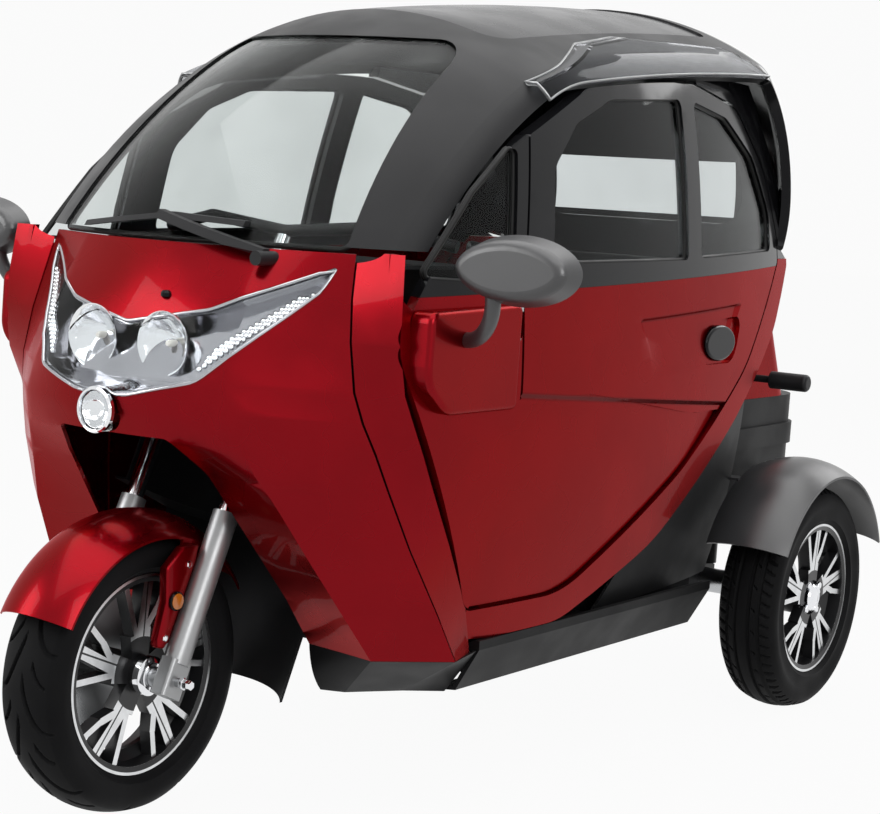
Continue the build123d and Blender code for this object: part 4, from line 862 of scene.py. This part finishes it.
rubber_seal = coated_finish("rubber_seal", (0.010, 0.010, 0.010), 0.1, (0.4, 0.5), 900.0,
                            0.00005, shine=0.3, glint=(0.4, 0.4, 0.4))
for side, name in SIDES:
    edge_bead(f"door_seal_{name}", f"door_glass_{name}", 0.0045, rubber_seal,
              f"{name}_door", lambda n: n.x * side > 0.5)
for side, name in SIDES:
    edge_bead(f"quarter_seal_{name}", "quarter_glass", 0.004, rubber_seal,
              "body", lambda n: n.x * side > 0.5)
edge_bead("screen_seal", "windscreen", 0.005, rubber_seal, "body",
          lambda n: n.y < -0.2 and n.z > 0.2)
edge_bead("headlamp_rim", "headlamp_lens", 0.0030, smoked_chrome, "body",
          lambda n: n.y < -0.2)
for side, name in SIDES:
    edge_bead(f"visor_strip_{name}", "rain_visor", 0.0022, cast_silver, "body",
              lambda n: n.x * side > 0.15)


# ------------------------------------------------------------------ lamps
# Under one clear lens lie two bright bowls with their bulbs and, to each side, rows of
# small beads. A round lamp with its own rim sits under the middle.
lens_glass = pane_finish("lens_glass", (0.93, 0.95, 0.96))
dress(lens_glass, "headlamp_lens", "lower_lamp")
reflector = coated_finish("reflector", (0.82, 0.83, 0.84), 0.05, (0.06, 0.12), 140.0, 0.0006,
                          metal=1.0)
bulb_glass = coated_finish("bulb_glass", (0.75, 0.72, 0.66), 0.05, (0.1, 0.2), 200.0, 0.00005)
lens_tree = surface_tree("headlamp_lens")


def behind_lens(x, z, depth):
    """The point that lies a depth straight behind the lens's outside, or None beside it."""
    hit = lens_tree.ray_cast(Vector((x, -2.0, z)), Vector((0, 1, 0)))
    if hit[0] is None:
        return None
    return Vector((x, hit[0].y + depth, z))


def swung(piece, place, axis):
    """Turn a piece that points along X a quarter back about an axis, and put it in place."""
    take(piece)
    piece.matrix_world = Matrix.Translation(place) @ Matrix.Rotation(-math.pi / 2, 4, axis)
    settle(piece)


def round_facing(name, profile, place, finish):
    """A round piece turned from (back, out) points, facing forwards."""
    swung(turned(name, "body", profile, (0, 0, 0), 1, finish), place, "Z")


def dish(deep, wide, rings):
    """The (back, out) points of a dish's inside, from its middle to its edge."""
    return [(-deep + deep * (out / wide) ** 2, out) for out in rings]


DISH_WALL = 0.002
BOWL = dish(0.034, 0.052, (0.0, 0.008, 0.016, 0.024, 0.032, 0.040, 0.046, 0.052))
BOWL = BOWL + [(0.001, 0.054), (-0.002, 0.054)] + [(a - DISH_WALL, r) for a, r in BOWL[::-1]]
BULB = ((0.0, 0.006), (0.016, 0.006), (0.020, 0.004), (0.021, 0.0))
BOWL_X, BOWL_Z = 0.078, 0.806
BOWL_BEHIND = 0.016     # how far the bowl's edge is behind the lens
BULB_BEHIND = 0.032     # how far the bulb's foot is behind the bowl's edge
BEAD_ROWS = 4
BEAD_STEPS = 20         # steps between the beads of the first row
FIRST_BEAD = (0.163, 0.772)     # x and z of the first row's first bead
BEAD_RUN = 0.128        # how far a row goes out, and up
ROW_SHIFT = (0.0045, 0.0095)    # from one row to the next
BEAD_RADIUS = 0.0050
BEAD_BEHIND = 0.010


def bead_spots(side):
    """The places of one side's beads, in rows that follow the lens's lower edge outwards."""
    for row in range(BEAD_ROWS):
        for i in range(BEAD_STEPS + 1 - 2 * row):
            share = (i + 0.5 * (row % 2)) / BEAD_STEPS
            x, z = (first + BEAD_RUN * share + shift * row
                    for first, shift in zip(FIRST_BEAD, ROW_SHIFT))
            spot = behind_lens(side * x, z, BEAD_BEHIND)
            if spot is not None:
                yield spot


for side, name in SIDES:
    place = behind_lens(side * BOWL_X, BOWL_Z, BOWL_BEHIND)
    round_facing(f"lamp_bowl_{name}", BOWL, place, reflector)
    round_facing(f"lamp_bulb_{name}", BULB, place + Vector((0, BULB_BEHIND, 0)),
                 bulb_glass)
    bpy.ops.mesh.primitive_uv_sphere_add(segments=10, ring_count=6, radius=BEAD_RADIUS,
                                         location=(0, 0, 0))
    pattern = bpy.context.active_object
    beads = []
    for spot in bead_spots(side):
        bead = added(f"lamp_beads_{name}", pattern.data.copy())
        bead.location = spot
        beads.append(bead)
    bpy.data.objects.remove(pattern)
    take(beads[0])
    for bead in beads:
        bead.select_set(True)
    bpy.ops.object.join()
    strip = bpy.context.active_object
    settle(strip)
    bpy.ops.object.shade_smooth()
    strip.data.materials.append(reflector)
    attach(strip, "body")

LAMP_RING = ((-0.004, 0.032), (-0.004, 0.0385), (0.003, 0.0385), (0.006, 0.036), (0.005, 0.033),
             (0.0, 0.032), (-0.004, 0.032))
SMALL_BOWL = dish(0.020, 0.031, (0.0, 0.006, 0.012, 0.018, 0.024, 0.031))
SMALL_BOWL = SMALL_BOWL + [(a - DISH_WALL, r) for a, r in SMALL_BOWL[::-1]]
low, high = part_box("lower_lamp")
middle_z = (low.z + high.z) / 2
round_facing("lower_lamp_ring", LAMP_RING, (0, low.y - 0.001, middle_z), chrome)
round_facing("lower_lamp_bowl", SMALL_BOWL, (0, low.y - 0.0005, middle_z),
             reflector)

tail_red = pane_finish("tail_red", (0.55, 0.01, 0.01), 0.05)
dress(tail_red, "tail_lamp")


# ------------------------------------------------------------------ number plate and nozzle
# A blank white plate lies on its holder, and a washer nozzle stands on the nose.
PLATE = (0.19, 0.0016, 0.10)
PLATE_AT = (0, 1.1062, 0.56)
NOZZLE = ((-0.003, 0.0), (-0.003, 0.009), (0.003, 0.009), (0.007, 0.006), (0.008, 0.0))
ABOVE_NOZZLE = Vector((0.06, -0.86, 1.3))
plate_white = coated_finish("plate_white", (0.72, 0.72, 0.70), 0.03, (0.3, 0.4), 300.0, 0.00002)
bpy.ops.mesh.primitive_cube_add(size=1, location=PLATE_AT)
plate = bpy.context.active_object
plate.name = "blank_plate"
plate.scale = PLATE
settle(plate)
rounded(plate, "corners", 0.0006, 2)
plate.data.materials.append(plate_white)
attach(plate, "body")
spot = surface_tree("nose_panel").ray_cast(ABOVE_NOZZLE, Vector((0, 0, -1)))[0]
nozzle = turned("washer_nozzle", "body", NOZZLE, (0, 0, 0), 1, gloss_black, 20)
swung(nozzle, spot, "Y")


# ------------------------------------------------------------------ seats
# Black vinyl over foam: a cushion on the seat box and a backrest behind it. Each starts
# from its CAD solid, drawn in by its crown, and swells out again as a cloth bag would.
CROWN = 0.010
SWELL = 0.9             # how much of its crown a point may swell
VOXEL = 0.006
PRESSURE = 4.0
MOMENTS = 20            # frames of the cloth's swelling
vinyl = coated_finish("vinyl", (0.016, 0.016, 0.018), 0.15, (0.38, 0.5), 420.0, 0.0004)


def swell(cover):
    """Blow a cover up as cloth, with each point's way capped."""
    rest = [v.co.copy() for v in cover.data.vertices]
    cloth = cover.modifiers.new("foam", "CLOTH")
    cloth.settings.use_pressure = True
    cloth.settings.uniform_pressure_force = PRESSURE
    cloth.settings.effector_weights.gravity = 0.0
    for moment in range(1, MOMENTS + 1):
        bpy.context.scene.frame_set(moment)
    bpy.ops.object.modifier_apply(modifier="foam")
    bpy.context.scene.frame_set(1)
    for vertex, start in zip(cover.data.vertices, rest):
        step = vertex.co - start
        if step.length > CROWN * SWELL:
            vertex.co = start + step.normalized() * CROWN * SWELL


for name, node in (("cushion_cover", "seat_cushion"), ("backrest_cover", "seat_back")):
    cover = merged_copy(node, name, lambda: bpy.ops.transform.shrink_fatten(value=-CROWN))
    remesh = cover.modifiers.new("even", "REMESH")
    remesh.mode = "VOXEL"
    remesh.voxel_size = VOXEL
    bpy.ops.object.modifier_apply(modifier="even")
    swell(cover)
    take(cover)
    finer = cover.modifiers.new("finer", "SUBSURF")
    finer.levels = 1
    bpy.ops.object.modifier_apply(modifier="finer")
    coat(cover, vinyl)
    bpy.ops.object.shade_smooth()
    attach(cover, "body")
    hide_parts(node)


# ------------------------------------------------------------------ floor and studio
# A pale floor under soft lamps, with white behind everything.
def seen_rays(nodes, link):
    """1 for the rays that come straight from the view, a reflection or through glass."""
    ways = nodes.new("ShaderNodeLightPath")
    total = ways.outputs["Is Camera Ray"]
    for name in ("Is Glossy Ray", "Is Transmission Ray"):
        either = nodes.new("ShaderNodeMath")
        either.operation = "MAXIMUM"
        link(total, either.inputs[0])
        link(ways.outputs[name], either.inputs[1])
        total = either.outputs[0]
    return total


FLOOR_GLOW = 0.95       # how much of the floor is plain white to the view
LIT_WORLD = 0.2         # the world's strength as a light
SEEN_WORLD = 0.96       # and to the view
bpy.ops.mesh.primitive_plane_add(size=60, location=(0, 0, -0.0005))
floor = bpy.context.active_object
floor.name = "studio_floor"
pale = bpy.data.materials.new("studio_floor")
pale.use_nodes = True
nodes = pale.node_tree.nodes
link = pale.node_tree.links.new
shader = nodes["Principled BSDF"]
shader.inputs["Roughness"].default_value = 0.9
shader.inputs["Specular IOR Level"].default_value = 0.1
speck = placed(nodes, surface_tone,
               {"Color": (0.42, 0.42, 0.42, 1.0), "Spread": 0.01, "Scale": 2.0})
link(speck.outputs["Color"], shader.inputs["Base Color"])
glow = nodes.new("ShaderNodeEmission")
glow.inputs["Color"].default_value = (1, 1, 1, 1)
glow.inputs["Strength"].default_value = 1.0
mixed = nodes.new("ShaderNodeMixShader")
link(sums(pale)("MULTIPLY", seen_rays(nodes, link), FLOOR_GLOW), mixed.inputs["Fac"])
link(shader.outputs["BSDF"], mixed.inputs[1])
link(glow.outputs["Emission"], mixed.inputs[2])
link(mixed.outputs["Shader"], nodes["Material Output"].inputs["Surface"])
floor.data.materials.append(pale)

world = bpy.data.worlds.new("studio")
bpy.context.scene.world = world
world.use_nodes = True
nodes = world.node_tree.nodes
link = world.node_tree.links.new
sky = nodes["Background"]
sky.inputs["Color"].default_value = (1, 1, 1, 1)
level = nodes.new("ShaderNodeMapRange")
level.inputs["To Min"].default_value = LIT_WORLD
level.inputs["To Max"].default_value = SEEN_WORLD
link(seen_rays(nodes, link), level.inputs["Value"])
link(level.outputs["Result"], sky.inputs["Strength"])


def soft_lamp(name, place, aim, size, power):
    """A large lamp, as wide and as long as its size, aimed at a point."""
    light = bpy.data.lights.new(name, "AREA")
    light.shape = "RECTANGLE"
    light.size, light.size_y = size
    light.energy = power
    lamp = added(name, light)
    lamp.location = place
    way = Vector(aim) - Vector(place)
    lamp.rotation_euler = way.to_track_quat("-Z", "Y").to_euler()


soft_lamp("overhead", (0.3, -0.3, 4.4), (0, 0, 0.6), (5.0, 6.0), 170)
soft_lamp("front_left", (4.2, -2.6, 2.8), (0, 0, 0.7), (2.0, 2.6), 80)
soft_lamp("front_right", (-2.4, -3.8, 2.4), (0, -0.3, 0.7), (2.0, 2.6), 80)
soft_lamp("rear", (1.0, 5.2, 3.8), (0, 0.4, 0.8), (3.0, 2.4), 70)

# ------------------------------------------------------------------ camera
# Fitted to the photograph: its columns are the view's right, up and back, and its place.
camera = bpy.data.cameras.new("camera")
camera.sensor_width = 36.0
camera.lens = 85.30
camera.shift_x = 0.02840
camera.shift_y = 0.08795
camera.clip_end = 200.0
view = added("camera", camera)
view.matrix_world = Matrix((
    (0.817135, -0.130076, 0.561579, 2.35767),
    (0.573382, 0.083088, -0.815064, -3.44264),
    (0.059360, 0.988016, 0.142477, 1.08884),
    (0.0, 0.0, 0.0, 1.0),
))
bpy.context.scene.camera = view
bpy.context.scene.view_settings.view_transform = "Standard"
